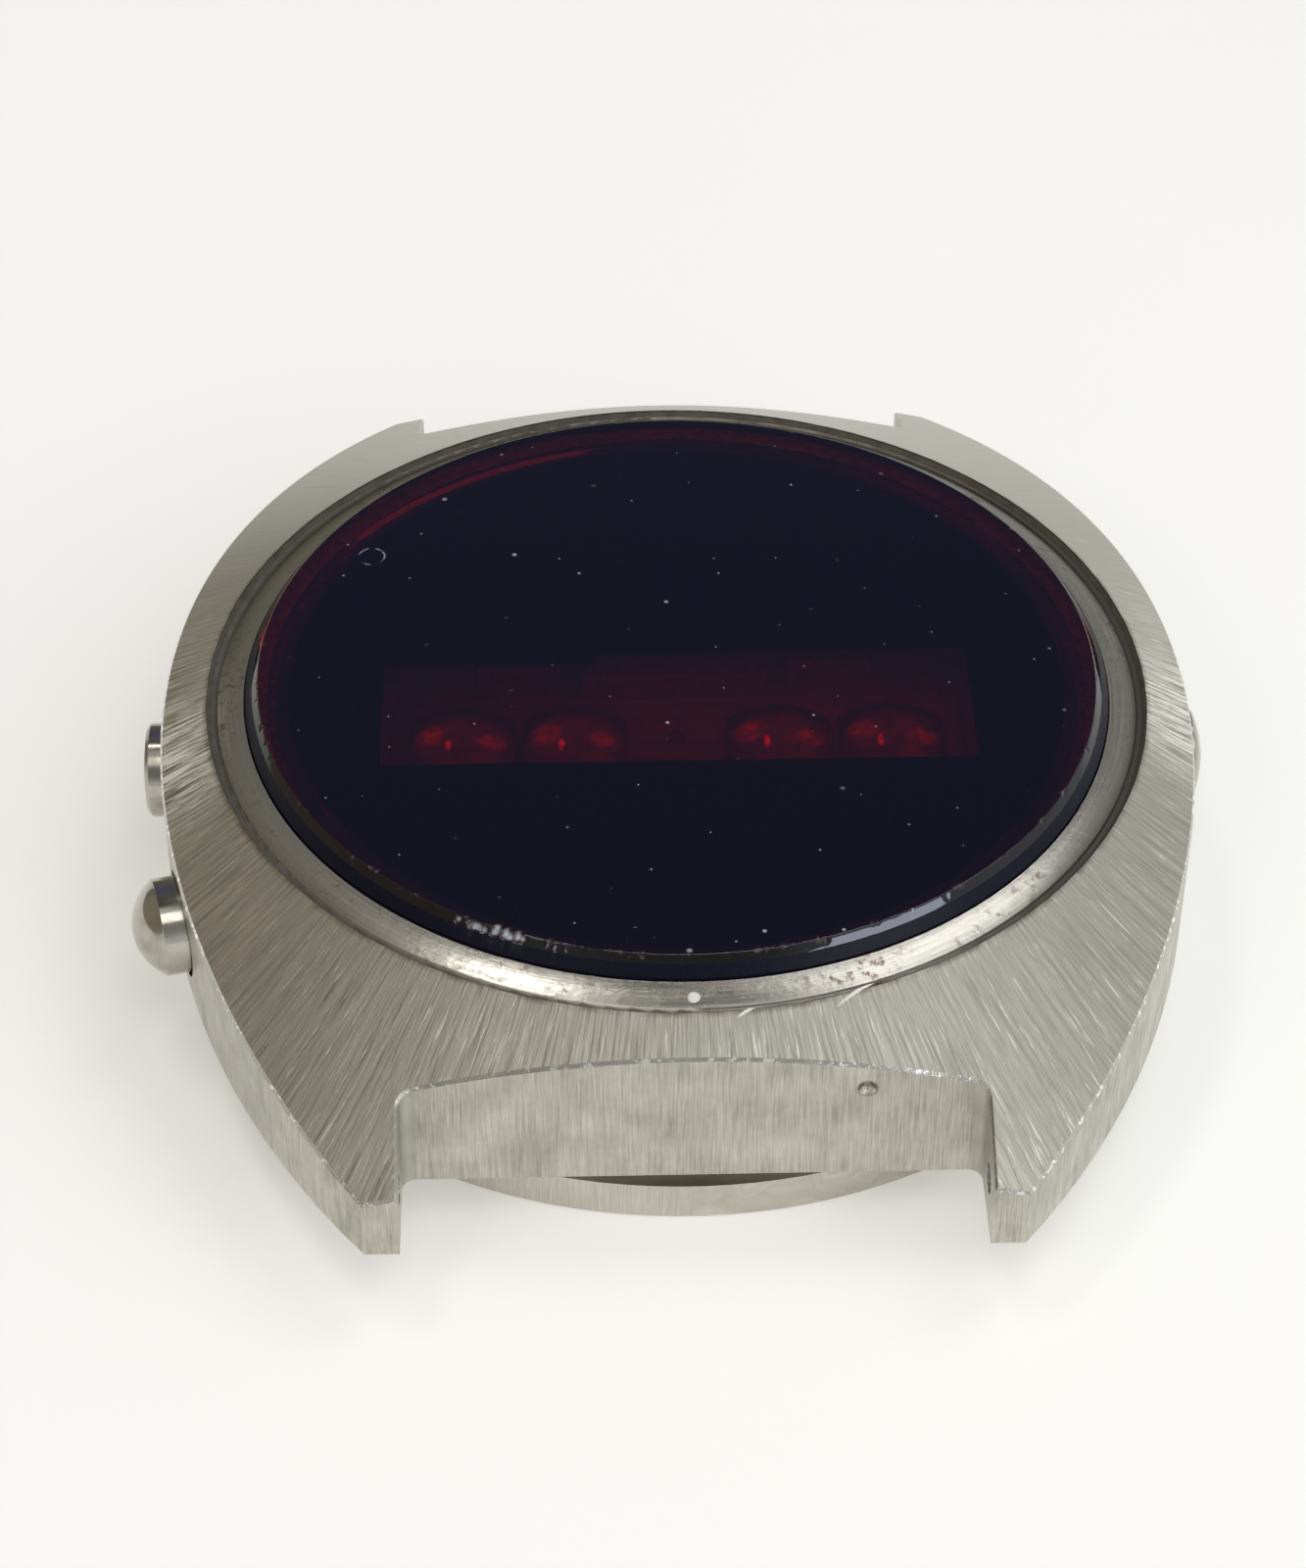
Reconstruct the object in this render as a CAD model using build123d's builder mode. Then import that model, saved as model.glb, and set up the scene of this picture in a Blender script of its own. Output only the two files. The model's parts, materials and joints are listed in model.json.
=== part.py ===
from build123d import *
from dataclasses import dataclass
from math import asin, atan2, cos, hypot, radians, sin, sqrt, tan
import os

# LED watch head. Millimetres, +Z out of the crystal, +Y to 12 o'clock, +X to 3 o'clock.
# The origin is the centre of the case back's flat underside.

# Cut allowance that carries a cutting tool past the face it breaks through
overrun = 1.0

# Crystal, mask and display window
crystal_thickness = 1.7
crystal_bevel_drop = 0.65
crystal_bevel_width = 0.5
crystal_gasket_thickness = 0.3
crystal_gasket_width = 0.75
gasket_clearance = 0.05
clear_band = 1.6
mask_band = 2.45
mask_thickness = 0.15
window_margin = 0.2
display_y = 1.8
window_shift = 0.35
window_step_height = 0.6
window_step_width = 7.9

# Bezel ring and its seat in the case
bezel_crystal_gap = 0.06
bezel_width = 1.29
bezel_case_gap = 0.1
bezel_depth = 1.1
bezel_crown = 0.12
bezel_land_width = 0.98
bezel_land_fall = 0.3
bezel_land_bulge = 0.035
bezel_cove_depth = 0.12
bezel_rim_drop = 0.04
ledge_reach = 2.55
ledge_thickness = 0.4

# Case middle and lugs
strap_width = 20.0
lug_tip_width = 1.2
lug_reach = 3.4
flank_shoulder = 1.72
end_shoulder = 1.45
cavity_step = 1.25
top_slope = 27.9
lug_root_radius = 0.5
edge_bevel = 0.09
spring_bar_reach = 1.8
spring_bar_lift = 1.5
spring_bar_hole_r = 0.55
spring_bar_hole_depth = 0.9
punch_dot_x = -5.9
punch_dot_lift = 4.1
punch_dot_r = 0.32
punch_dot_depth = 0.2
punch_dot_taper = 45

# Case back, its snap skirt and gasket
back_height = 2.72
back_floor = 0.9
back_lip = 0.15
back_taper = 0.6
back_edge_bevel = 0.1
skirt_seat_step = 0.7
skirt_clearance = 0.05
skirt_wall = 0.8
skirt_height = 0.7
snap_bead = 0.12
snap_bead_half_height = 0.2
snap_bead_lift = 0.4
back_gasket_thickness = 0.25
opener_width = 9.7
opener_height = 0.6
opener_depth = 0.9

# Module frame, cells and strap
module_clearance = 0.3
insulator_thickness = 0.15
insulator_inset = 0.4
cell_r = 5.8
cell_height = 3.6
cell_cap_step = 0.9
cell_cap_height = 0.3
cell_edge_bevel = 0.15
cell_y = -1.5
well_clearance = 0.1
well_wall = 0.8
strap_thickness = 0.2
strap_plate_length = 16.0
strap_plate_width = 3.6
strap_arm_length = 9.6
strap_arm_width = 2.6
strap_clearance = 0.1
strap_arm_end = 1.1
screw_r = 0.5
screw_length = 2.4
screw_head_r = 0.95
screw_head_height = 0.25
screw_slot_width = 0.25
screw_slot_depth = 0.12
screw_clearance = 0.03
contact_thickness = 0.2
contact_r = 2.6
contact_hole_r = 1.2

# Circuit board and what stands on it
board_inset = 1.6
board_clearance = 0.1
board_thickness = 0.5
display_end_margin = 0.75
display_side_margin = 0.5
display_base_thickness = 0.5
digit_pitch = 4.2
colon_gap = 7.6
die_length = 2.4
die_width = 1.5
die_thickness = 0.12
colon_die_r = 0.3
colon_die_spacing = 1.6
lens_length = 4.8
lens_width = 3.9
lens_height = 1.0
lens_flange = 0.25
lens_pocket_margin = 0.25
lens_headroom = 0.3
chip_gap = 0.8
clock_chip_side = 7.0
clock_chip_height = 1.2
driver_chip_length = 5.0
driver_chip_width = 3.2
driver_chip_height = 1.0
resistor_length = 2.0
resistor_width = 1.2
resistor_height = 0.6
resistor_pitch = 3.4
resistor_count = 4
resistor_edge_gap = 5.0
quartz_r = 1.5
quartz_length = 8.0
quartz_edge_gap = 3.0
quartz_clearance = 0.15
trimmer_angle = 137.4
trimmer_edge_gap = 0.5
trimmer_r = 2.0
trimmer_height = 1.6
trimmer_clearance = 0.25
rotor_r = 1.5
rotor_height = 0.6
rotor_stub_r = 0.5
rotor_stub_length = 1.0
rotor_running_clearance = 0.04
rotor_slot_width = 0.4
rotor_slot_depth = 0.25

# Pushers: what all three share
pusher_lift = 2.5
cap_r = 1.78
stem_r = 0.55
stem_clearance = 0.03
bush_r = 1.25
bush_press_gap = 0.01
bush_margin = 0.02
seal_pocket_r = 1.0
seal_pocket_depth = 0.45
seal_wire_r = 0.19
seal_slack = 0.02
spring_inner_r = 1.05
spring_outer_r = 1.4
clip_r = 1.1
clip_thickness = 0.25
clip_groove_depth = 0.15
clip_slack = 0.02
clip_gap = 0.04
stem_tip = 0.3
leaf_gap = 0.05
leaf_thickness = 0.15
leaf_width = 2.4
leaf_drop = 1.1
leaf_foot = 2.0
notch_side_clearance = 0.35
notch_drop = 1.4

# The large domed pusher that shows the time
display_along = 8.5
display_rim = 0.85
display_crown = 0.92
display_edge = 0.06
display_travel = 0.8
display_seat = 0.9
display_spring_room = 1.5
display_gap = 0.18

# The two low pushers that set the minutes and the hours, the hours one lower and domed
set_along = 0.0
set_travel = 0.45
set_seat = 0.7
set_spring_room = 1.0
set_gap = 0.08
minute_rim = 0.74
minute_crown = 0.15
minute_edge = 0.14
hour_rim = 0.4
hour_crown = 0.38
hour_edge = 0.1

# Heights, built up from the case back to the crystal
frame_z = back_floor + insulator_thickness
strap_z = frame_z + screw_head_height
cell_z = strap_z + strap_thickness
contact_z = cell_z + cell_height
board_z = contact_z + contact_thickness
board_top_z = board_z + board_thickness
die_z = board_top_z + display_base_thickness
ledge_z = die_z + lens_height + lens_headroom
seat_z = ledge_z + ledge_thickness
crystal_z = seat_z + crystal_gasket_thickness
crystal_top_z = crystal_z + crystal_thickness
case_top_z = seat_z + bezel_depth
skirt_top_z = back_height + skirt_height
pusher_z = back_height + pusher_lift

# Display: a row of digits with a colon gap, the window that shows it, and the mask round that
inner_digit_x = colon_gap / 2
outer_digit_x = inner_digit_x + digit_pitch
display_base_length = 2 * (outer_digit_x + display_end_margin) + lens_width
display_base_width = lens_length + 2 * display_side_margin
window_width = display_base_length + 2 * window_margin
window_height = display_base_width + 2 * window_margin
window_y = display_y - window_shift
mask_r = hypot(window_width / 2, display_y + window_height / 2) + mask_band

# Radii and reaches, built out from the mask
crystal_r = mask_r + clear_band
bezel_inner_r = crystal_r + bezel_crystal_gap
bezel_outer_r = bezel_inner_r + bezel_width
bezel_seat_r = bezel_outer_r + bezel_case_gap
opening_r = bezel_seat_r - ledge_reach
cavity_r = bezel_seat_r - cavity_step
module_r = cavity_r - module_clearance
board_r = module_r - board_inset - board_clearance
skirt_seat_r = cavity_r + skirt_seat_step
skirt_r = skirt_seat_r - skirt_clearance
skirt_inner_r = skirt_r - skirt_wall
case_half_width = bezel_seat_r + flank_shoulder
end_wall_y = bezel_seat_r + end_shoulder
lug_tip_y = end_wall_y + lug_reach
lug_tip_x = strap_width / 2 + lug_tip_width
back_top_r = end_wall_y + back_lip
back_bottom_r = back_top_r - back_taper
cell_x = cell_r + well_clearance + well_wall / 2
clock_chip_y = display_y - display_base_width / 2 - chip_gap - clock_chip_side / 2
driver_chip_x = clock_chip_side / 2 + chip_gap + driver_chip_width / 2
resistor_y = board_r - resistor_edge_gap - resistor_width / 2
quartz_y = board_r - quartz_edge_gap - quartz_r
trimmer_reach = board_r - trimmer_edge_gap - trimmer_r
trimmer_x = trimmer_reach * cos(radians(trimmer_angle))
trimmer_y = trimmer_reach * sin(radians(trimmer_angle))

# Each flank is one arc, from lug tip to lug tip through its widest point
flank_bulge = case_half_width - lug_tip_x
flank_r = (flank_bulge**2 + lug_tip_y**2) / (2 * flank_bulge)


def save(piece, name):
    """Label a finished piece and write it to its STEP file."""
    piece.part.label = name
    export_step(piece.part, f"parts/{name}.step")


@dataclass
class Pusher:
    """A pusher on the flank. Depths run inward from the flank along its axis."""

    name: str
    side: int
    along: float
    rim: float
    crown: float
    edge: float
    travel: float
    seat: float
    spring_room: float
    gap: float

    def __post_init__(self):
        lean = asin(self.along / flank_r)
        centre_x = case_half_width - flank_r
        outward = Vector(self.side * cos(lean), sin(lean), 0)
        centre = Vector(self.side * centre_x, 0, pusher_z)
        self.face = Plane(centre + outward * flank_r, x_dir=Vector(0, 0, 1), z_dir=outward)
        self.profile = Plane(self.face.origin, x_dir=self.face.x_dir, z_dir=-self.face.y_dir)
        self.axis = Axis(self.face.origin, outward)
        # Where the axis meets the round cavity wall, and how far from square it does so
        reach = sqrt(cavity_r**2 - (centre_x * sin(lean)) ** 2) - centre_x * cos(lean)
        wall_angle = atan2(reach * sin(lean), centre_x + reach * cos(lean)) - lean
        self.floor = self.seat + self.spring_room
        self.bush_end = (
            flank_r - reach + clip_r * tan(wall_angle) + clip_r**2 / (2 * cavity_r) + bush_margin
        )
        self.clip_start = self.bush_end + clip_gap
        self.groove_end = self.clip_start + clip_thickness + 2 * clip_slack
        self.tip = self.groove_end + stem_tip
        self.leaf_face = self.tip + self.travel + leaf_gap
        self.leaf_back = self.leaf_face + leaf_thickness


display_pusher = Pusher(
    "display_pusher", 1, display_along, display_rim, display_crown, display_edge,
    display_travel, display_seat, display_spring_room, display_gap,
)
minute_set_pusher = Pusher(
    "minute_set_pusher", 1, set_along, minute_rim, minute_crown, minute_edge,
    set_travel, set_seat, set_spring_room, set_gap,
)
hour_set_pusher = Pusher(
    "hour_set_pusher", -1, set_along, hour_rim, hour_crown, hour_edge,
    set_travel, set_seat, set_spring_room, set_gap,
)
pushers = [display_pusher, minute_set_pusher, hour_set_pusher]

os.makedirs("parts", exist_ok=True)

# Case middle: the plan outline, cut by a cone on top, then bored for ring, module and back
top_drop = tan(radians(top_slope))
outer_reach = hypot(lug_tip_x, lug_tip_y) + overrun
slot_reach = lug_reach + overrun
skirt_seat_top = skirt_top_z + back_gasket_thickness
bead_z = back_height + snap_bead_lift
bead_low, bead_high = bead_z - snap_bead_half_height, bead_z + snap_bead_half_height
with BuildPart() as case_middle:
    with BuildSketch(Plane.XY.offset(back_height)) as outline:
        with BuildLine():
            right = ThreePointArc((lug_tip_x, -lug_tip_y), (case_half_width, 0), (lug_tip_x, lug_tip_y))
            left = ThreePointArc((-lug_tip_x, lug_tip_y), (-case_half_width, 0), (-lug_tip_x, -lug_tip_y))
            Line(right @ 1, left @ 0)
            Line(left @ 1, right @ 0)
        make_face()
        with Locations((0, end_wall_y + slot_reach / 2), (0, -end_wall_y - slot_reach / 2)):
            Rectangle(strap_width, slot_reach, mode=Mode.SUBTRACT)
        roots = outline.vertices().filter_by(lambda corner: abs(corner.Y) < end_wall_y + lug_root_radius)
        fillet(roots, radius=lug_root_radius)
    extrude(amount=case_top_z - back_height)
    with BuildSketch(Plane.XZ):
        with BuildLine():
            Polyline(
                (0, back_height), (outer_reach, back_height),
                (outer_reach, case_top_z - top_drop * (outer_reach - bezel_seat_r)),
                (bezel_seat_r, case_top_z), (0, case_top_z), close=True,
            )
        make_face()
    revolve(axis=Axis.Z, mode=Mode.INTERSECT)
    cone = case_middle.faces().filter_by(GeomType.CONE).sort_by(SortBy.AREA)[-1]
    rim_edges = cone.edges().filter_by(GeomType.LINE, reverse=True).sort_by(Axis.Z)[:-1]
    chamfer(rim_edges, length=edge_bevel)
    with BuildSketch(Plane.XZ):
        with BuildLine():
            Polyline(
                (0, back_height - overrun), (skirt_seat_r, back_height - overrun),
                (skirt_seat_r, bead_low), (skirt_seat_r + snap_bead, bead_z), (skirt_seat_r, bead_high),
                (skirt_seat_r, skirt_seat_top), (cavity_r, skirt_seat_top), (cavity_r, ledge_z),
                (opening_r, ledge_z), (opening_r, seat_z), (bezel_seat_r, seat_z),
                (bezel_seat_r, case_top_z + overrun), (0, case_top_z + overrun), close=True,
            )
        make_face()
    revolve(axis=Axis.Z, mode=Mode.SUBTRACT)
    for pusher in pushers:
        with BuildSketch(pusher.face.offset(-pusher.floor)):
            Circle(cap_r + pusher.gap)
        extrude(amount=pusher.floor + overrun, mode=Mode.SUBTRACT)
        with BuildSketch(pusher.face.offset(-pusher.floor)):
            Circle(bush_r + bush_press_gap)
        extrude(amount=pusher.floor - pusher.bush_end, mode=Mode.SUBTRACT)
    for side in (-1, 1):
        with BuildSketch(Plane.YZ.offset(side * strap_width / 2)):
            with Locations(*((end * (end_wall_y + spring_bar_reach), back_height + spring_bar_lift)
                             for end in (-1, 1))):
                Circle(spring_bar_hole_r)
        extrude(amount=side * spring_bar_hole_depth, mode=Mode.SUBTRACT)
    with BuildSketch(Plane.XZ.offset(-end_wall_y)):
        with Locations((punch_dot_x, back_height + punch_dot_lift)):
            Circle(punch_dot_r)
    extrude(amount=punch_dot_depth, taper=punch_dot_taper, mode=Mode.SUBTRACT)
save(case_middle, "case_middle")

# Bezel ring: a slightly domed land that falls away from the crystal, then a shallow cove
bezel_top_z = case_top_z + bezel_crown
land_edge = (bezel_inner_r + bezel_land_width, bezel_top_z - bezel_land_fall)
land_crest = ((bezel_inner_r + land_edge[0]) / 2, (bezel_top_z + land_edge[1]) / 2 + bezel_land_bulge)
cove_bottom = ((land_edge[0] + bezel_outer_r) / 2, land_edge[1] - bezel_cove_depth)
cove_rim = (bezel_outer_r, land_edge[1] - bezel_rim_drop)
with BuildPart() as bezel_ring:
    with BuildSketch(Plane.XZ):
        with BuildLine():
            land = ThreePointArc((bezel_inner_r, bezel_top_z), land_crest, land_edge)
            cove = ThreePointArc(land_edge, cove_bottom, cove_rim)
            Polyline(cove @ 1, (bezel_outer_r, seat_z), (bezel_inner_r, seat_z), land @ 0)
        make_face()
    revolve(axis=Axis.Z)
save(bezel_ring, "bezel_ring")

# Crystal: a thick disc with a steep bevel ground on its proud rim
with BuildPart() as crystal:
    with BuildSketch(Plane.XZ):
        with BuildLine():
            Polyline(
                (0, crystal_z), (crystal_r, crystal_z), (crystal_r, crystal_top_z - crystal_bevel_drop),
                (crystal_r - crystal_bevel_width, crystal_top_z), (0, crystal_top_z), close=True,
            )
        make_face()
    revolve(axis=Axis.Z)
save(crystal, "crystal")

with BuildPart() as crystal_gasket:
    with BuildSketch(Plane.XY.offset(seat_z)):
        Circle(crystal_r - gasket_clearance)
        Circle(crystal_r - gasket_clearance - crystal_gasket_width, mode=Mode.SUBTRACT)
    extrude(amount=crystal_gasket_thickness)
save(crystal_gasket, "crystal_gasket")

# Mask: a round black sheet behind the crystal, its window stepped at one corner
with BuildPart() as dial_mask:
    with BuildSketch(Plane.XY.offset(crystal_z)):
        Circle(mask_r)
        with Locations((0, window_y)):
            Rectangle(window_width, window_height, mode=Mode.SUBTRACT)
        with Locations((window_width / 2, window_y - window_height / 2)):
            Rectangle(window_step_width, window_step_height, align=(Align.MAX, Align.MIN))
    extrude(amount=-mask_thickness)
save(dial_mask, "dial_mask")

# Case back: tapered round plate with a snap skirt, and an opener notch at 12 o'clock
with BuildPart() as case_back:
    with BuildSketch(Plane.XZ):
        with BuildLine():
            Polyline(
                (0, 0), (back_bottom_r - back_edge_bevel, 0), (back_bottom_r, back_edge_bevel),
                (back_top_r, back_height), (skirt_r, back_height),
                (skirt_r, bead_low), (skirt_r + snap_bead, bead_z), (skirt_r, bead_high),
                (skirt_r, skirt_top_z), (skirt_inner_r, skirt_top_z),
                (skirt_inner_r, back_floor), (0, back_floor), close=True,
            )
        make_face()
    revolve(axis=Axis.Z)
    with BuildSketch(Plane.XY.offset(back_height)):
        with Locations((0, back_top_r - opener_depth)):
            Rectangle(opener_width, opener_depth + overrun, align=(Align.CENTER, Align.MIN))
    extrude(amount=-opener_height, mode=Mode.SUBTRACT)
save(case_back, "case_back")

with BuildPart() as back_gasket:
    with BuildSketch(Plane.XY.offset(skirt_top_z)):
        Circle(skirt_r)
        Circle(skirt_inner_r + gasket_clearance, mode=Mode.SUBTRACT)
    extrude(amount=back_gasket_thickness)
save(back_gasket, "back_gasket")

with BuildPart() as insulator:
    with BuildSketch(Plane.XY.offset(back_floor)):
        Circle(module_r - insulator_inset)
    extrude(amount=insulator_thickness)
save(insulator, "insulator")


# The three notches, open to the top, that the stems and switch leaves stand in
with BuildPart() as switch_notches:
    for pusher in pushers:
        with BuildSketch(pusher.face.offset(-pusher.leaf_back)):
            with Locations(((ledge_z + overrun - pusher_z - notch_drop) / 2, 0)):
                Rectangle(ledge_z + overrun - pusher_z + notch_drop, leaf_width + 2 * notch_side_clearance)
        extrude(amount=pusher.leaf_back + overrun)

# Module frame: moulded cup with cell wells from below, a board seat on top and pusher notches
cell_places = [(-cell_x, cell_y), (cell_x, cell_y)]
screw_reach = strap_arm_length / 2 - strap_arm_end
screw_places = [(0, cell_y - screw_reach), (0, cell_y + screw_reach)]
with BuildPart() as module_frame:
    with BuildSketch(Plane.XY.offset(frame_z)):
        Circle(module_r)
    extrude(amount=ledge_z - frame_z)
    with BuildSketch(Plane.XY.offset(board_z)):
        Circle(board_r + board_clearance)
    extrude(amount=ledge_z - board_z + overrun, mode=Mode.SUBTRACT)
    with BuildSketch(Plane.XY.offset(frame_z)):
        with Locations(*cell_places):
            Circle(cell_r + well_clearance)
    extrude(amount=board_z - frame_z, mode=Mode.SUBTRACT)
    with BuildSketch(Plane.XY.offset(frame_z)):
        with Locations((0, cell_y)):
            Rectangle(strap_plate_length + 2 * strap_clearance, strap_plate_width + 2 * strap_clearance)
            Rectangle(strap_arm_width + 2 * strap_clearance, strap_arm_length + 2 * strap_clearance)
    extrude(amount=strap_z + strap_thickness - frame_z, mode=Mode.SUBTRACT)
    with BuildSketch(Plane.XY.offset(frame_z)):
        with Locations(*screw_places):
            Circle(screw_r + screw_clearance)
    extrude(amount=strap_z + screw_length + screw_clearance - frame_z, mode=Mode.SUBTRACT)
    with BuildSketch(Plane.XY.offset(board_z)):
        with Locations((0, quartz_y)):
            Rectangle(quartz_length + 2 * quartz_clearance, 2 * (quartz_r + quartz_clearance))
    extrude(amount=-2 * (quartz_r + quartz_clearance), mode=Mode.SUBTRACT)
    with BuildSketch(Plane.XY.offset(frame_z)):
        with Locations((trimmer_x, trimmer_y)):
            Circle(trimmer_r + trimmer_clearance)
    extrude(amount=board_z - frame_z, mode=Mode.SUBTRACT)
    add(switch_notches.part, mode=Mode.SUBTRACT)
    for pusher in pushers:
        with BuildSketch(pusher.face.offset(-pusher.leaf_back - leaf_foot - notch_side_clearance)):
            with Locations(((board_top_z + ledge_z + overrun) / 2 - pusher_z, 0)):
                Rectangle(ledge_z + overrun - board_top_z, leaf_width + 2 * notch_side_clearance)
        extrude(amount=leaf_foot + notch_side_clearance + leaf_thickness, mode=Mode.SUBTRACT)
save(module_frame, "module_frame")

# Cells: one stands cap down and the other cap up, so that the strap joins them in series
for name, place, upward in (("cell_left", cell_places[0], 1), ("cell_right", cell_places[1], -1)):
    foot_z = cell_z if upward > 0 else contact_z
    with BuildPart() as cell:
        with BuildSketch(Plane.XY.offset(foot_z)):
            with Locations(place):
                Circle(cell_r)
        extrude(amount=upward * (cell_height - cell_cap_height))
        chamfer(cell.edges().filter_by(GeomType.CIRCLE), length=cell_edge_bevel)
        with BuildSketch(Plane.XY.offset(foot_z + upward * (cell_height - cell_cap_height))):
            with Locations(place):
                Circle(cell_r - cell_cap_step)
        extrude(amount=upward * cell_cap_height)
    save(cell, name)

with BuildPart() as cell_strap:
    with BuildSketch(Plane.XY.offset(strap_z)):
        with Locations((0, cell_y)):
            Rectangle(strap_plate_length, strap_plate_width)
            Rectangle(strap_arm_width, strap_arm_length)
        with Locations(*screw_places):
            Circle(screw_r + screw_clearance, mode=Mode.SUBTRACT)
    extrude(amount=strap_thickness)
save(cell_strap, "cell_strap")

with BuildPart() as strap_screws:
    with BuildSketch(Plane.XY.offset(strap_z)):
        with Locations(*screw_places):
            Circle(screw_head_r)
    extrude(amount=-screw_head_height)
    with BuildSketch(Plane.XY.offset(strap_z)):
        with Locations(*screw_places):
            Circle(screw_r)
    extrude(amount=screw_length)
    with BuildSketch(Plane.XY.offset(strap_z - screw_head_height)):
        with Locations(*screw_places):
            Rectangle(2 * screw_head_r + overrun, screw_slot_width)
    extrude(amount=screw_slot_depth, mode=Mode.SUBTRACT)
save(strap_screws, "strap_screws")

with BuildPart() as cell_contacts:
    with BuildSketch(Plane.XY.offset(contact_z)):
        with Locations(*cell_places):
            Circle(contact_r)
            Circle(contact_hole_r, mode=Mode.SUBTRACT)
    extrude(amount=contact_thickness)
save(cell_contacts, "cell_contacts")

# Circuit board, and the chips and resistors on its upper face
with BuildPart() as circuit_board:
    with BuildSketch(Plane.XY.offset(board_z)):
        Circle(board_r)
    extrude(amount=board_thickness)
    add(switch_notches.part, mode=Mode.SUBTRACT)
save(circuit_board, "circuit_board")

with BuildPart() as clock_chip:
    with BuildSketch(Plane.XY.offset(board_top_z)):
        with Locations((0, clock_chip_y)):
            Rectangle(clock_chip_side, clock_chip_side)
    extrude(amount=clock_chip_height)
save(clock_chip, "clock_chip")

with BuildPart() as driver_chips:
    with BuildSketch(Plane.XY.offset(board_top_z)):
        with Locations((-driver_chip_x, clock_chip_y), (driver_chip_x, clock_chip_y)):
            Rectangle(driver_chip_width, driver_chip_length)
    extrude(amount=driver_chip_height)
save(driver_chips, "driver_chips")

with BuildPart() as resistors:
    with BuildSketch(Plane.XY.offset(board_top_z)):
        with Locations((0, resistor_y)):
            with GridLocations(resistor_pitch, 0, resistor_count, 1):
                Rectangle(resistor_length, resistor_width)
    extrude(amount=resistor_height)
save(resistors, "resistors")

# Display: a ceramic base, the dies on it, and a bubble lens over each digit
digit_places = [(side * x, display_y) for side in (-1, 1) for x in (inner_digit_x, outer_digit_x)]
colon_places = [(0, display_y - colon_die_spacing / 2), (0, display_y + colon_die_spacing / 2)]
with BuildPart() as display_base:
    with BuildSketch(Plane.XY.offset(board_top_z)):
        with Locations((0, display_y)):
            Rectangle(display_base_length, display_base_width)
    extrude(amount=display_base_thickness)
save(display_base, "display_base")

with BuildPart() as led_dies:
    with BuildSketch(Plane.XY.offset(die_z)):
        with Locations(*digit_places):
            Rectangle(die_width, die_length)
        with Locations(*colon_places):
            Circle(colon_die_r)
    extrude(amount=die_thickness)
save(led_dies, "led_dies")

lens_dome = lens_height - lens_flange
lens_dome_r = ((lens_length / 2) ** 2 + lens_dome**2) / (2 * lens_dome)
with BuildPart() as digit_lenses:
    with Locations(*((x, y, die_z + lens_height - lens_dome_r) for x, y in digit_places)):
        Sphere(lens_dome_r)
    with BuildSketch(Plane.XY.offset(die_z)):
        with Locations(*digit_places):
            Rectangle(lens_width, lens_length)
    extrude(amount=lens_height, mode=Mode.INTERSECT)
    with BuildSketch(Plane.XY.offset(die_z)):
        with Locations(*digit_places):
            Rectangle(die_width + 2 * lens_pocket_margin, die_length + 2 * lens_pocket_margin)
    extrude(amount=lens_flange, mode=Mode.SUBTRACT)
save(digit_lenses, "digit_lenses")

# Under the board: the quartz can, and the trimmer whose rotor is turned from the back
with BuildPart() as quartz_can:
    with BuildSketch(Plane.YZ.offset(-quartz_length / 2)):
        with Locations((quartz_y, board_z - quartz_r - quartz_clearance / 2)):
            Circle(quartz_r)
    extrude(amount=quartz_length)
    chamfer(quartz_can.edges().filter_by(GeomType.CIRCLE), length=cell_edge_bevel)
save(quartz_can, "quartz_can")

trimmer_face_z = board_z - trimmer_height
with BuildPart() as trimmer_body:
    with BuildSketch(Plane.XY.offset(trimmer_face_z)):
        with Locations((trimmer_x, trimmer_y)):
            Circle(trimmer_r)
    extrude(amount=trimmer_height)
    with BuildSketch(Plane.XY.offset(trimmer_face_z)):
        with Locations((trimmer_x, trimmer_y)):
            Circle(rotor_stub_r + rotor_running_clearance)
    extrude(amount=rotor_stub_length + rotor_running_clearance, mode=Mode.SUBTRACT)
save(trimmer_body, "trimmer_body")

with BuildPart() as trimmer_rotor:
    with BuildSketch(Plane.XY.offset(trimmer_face_z - rotor_height)):
        with Locations((trimmer_x, trimmer_y)):
            Circle(rotor_r)
    extrude(amount=rotor_height)
    with BuildSketch(Plane.XY.offset(trimmer_face_z)):
        with Locations((trimmer_x, trimmer_y)):
            Circle(rotor_stub_r)
    extrude(amount=rotor_stub_length)
    with BuildSketch(Plane.XY.offset(trimmer_face_z - rotor_height)):
        with Locations((trimmer_x, trimmer_y)):
            Rectangle(2 * rotor_r + overrun, rotor_slot_width)
    extrude(amount=rotor_slot_depth, mode=Mode.SUBTRACT)
save(trimmer_rotor, "trimmer_rotor")

# Switch leaves: each stands just past the full travel of its stem and lies on the board
leaf_low, leaf_high = -leaf_drop, board_top_z + leaf_thickness - pusher_z
with BuildPart() as switch_leaves:
    for pusher in pushers:
        with BuildSketch(pusher.face.offset(-pusher.leaf_back)):
            with Locations(((leaf_low + leaf_high) / 2, 0)):
                Rectangle(leaf_high - leaf_low, leaf_width)
        extrude(amount=leaf_thickness)
        with BuildSketch(pusher.face.offset(-pusher.leaf_back - leaf_foot)):
            with Locations((leaf_high - leaf_thickness / 2, 0)):
                Rectangle(leaf_thickness, leaf_width)
        extrude(amount=leaf_foot)
save(switch_leaves, "switch_leaves")

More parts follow.
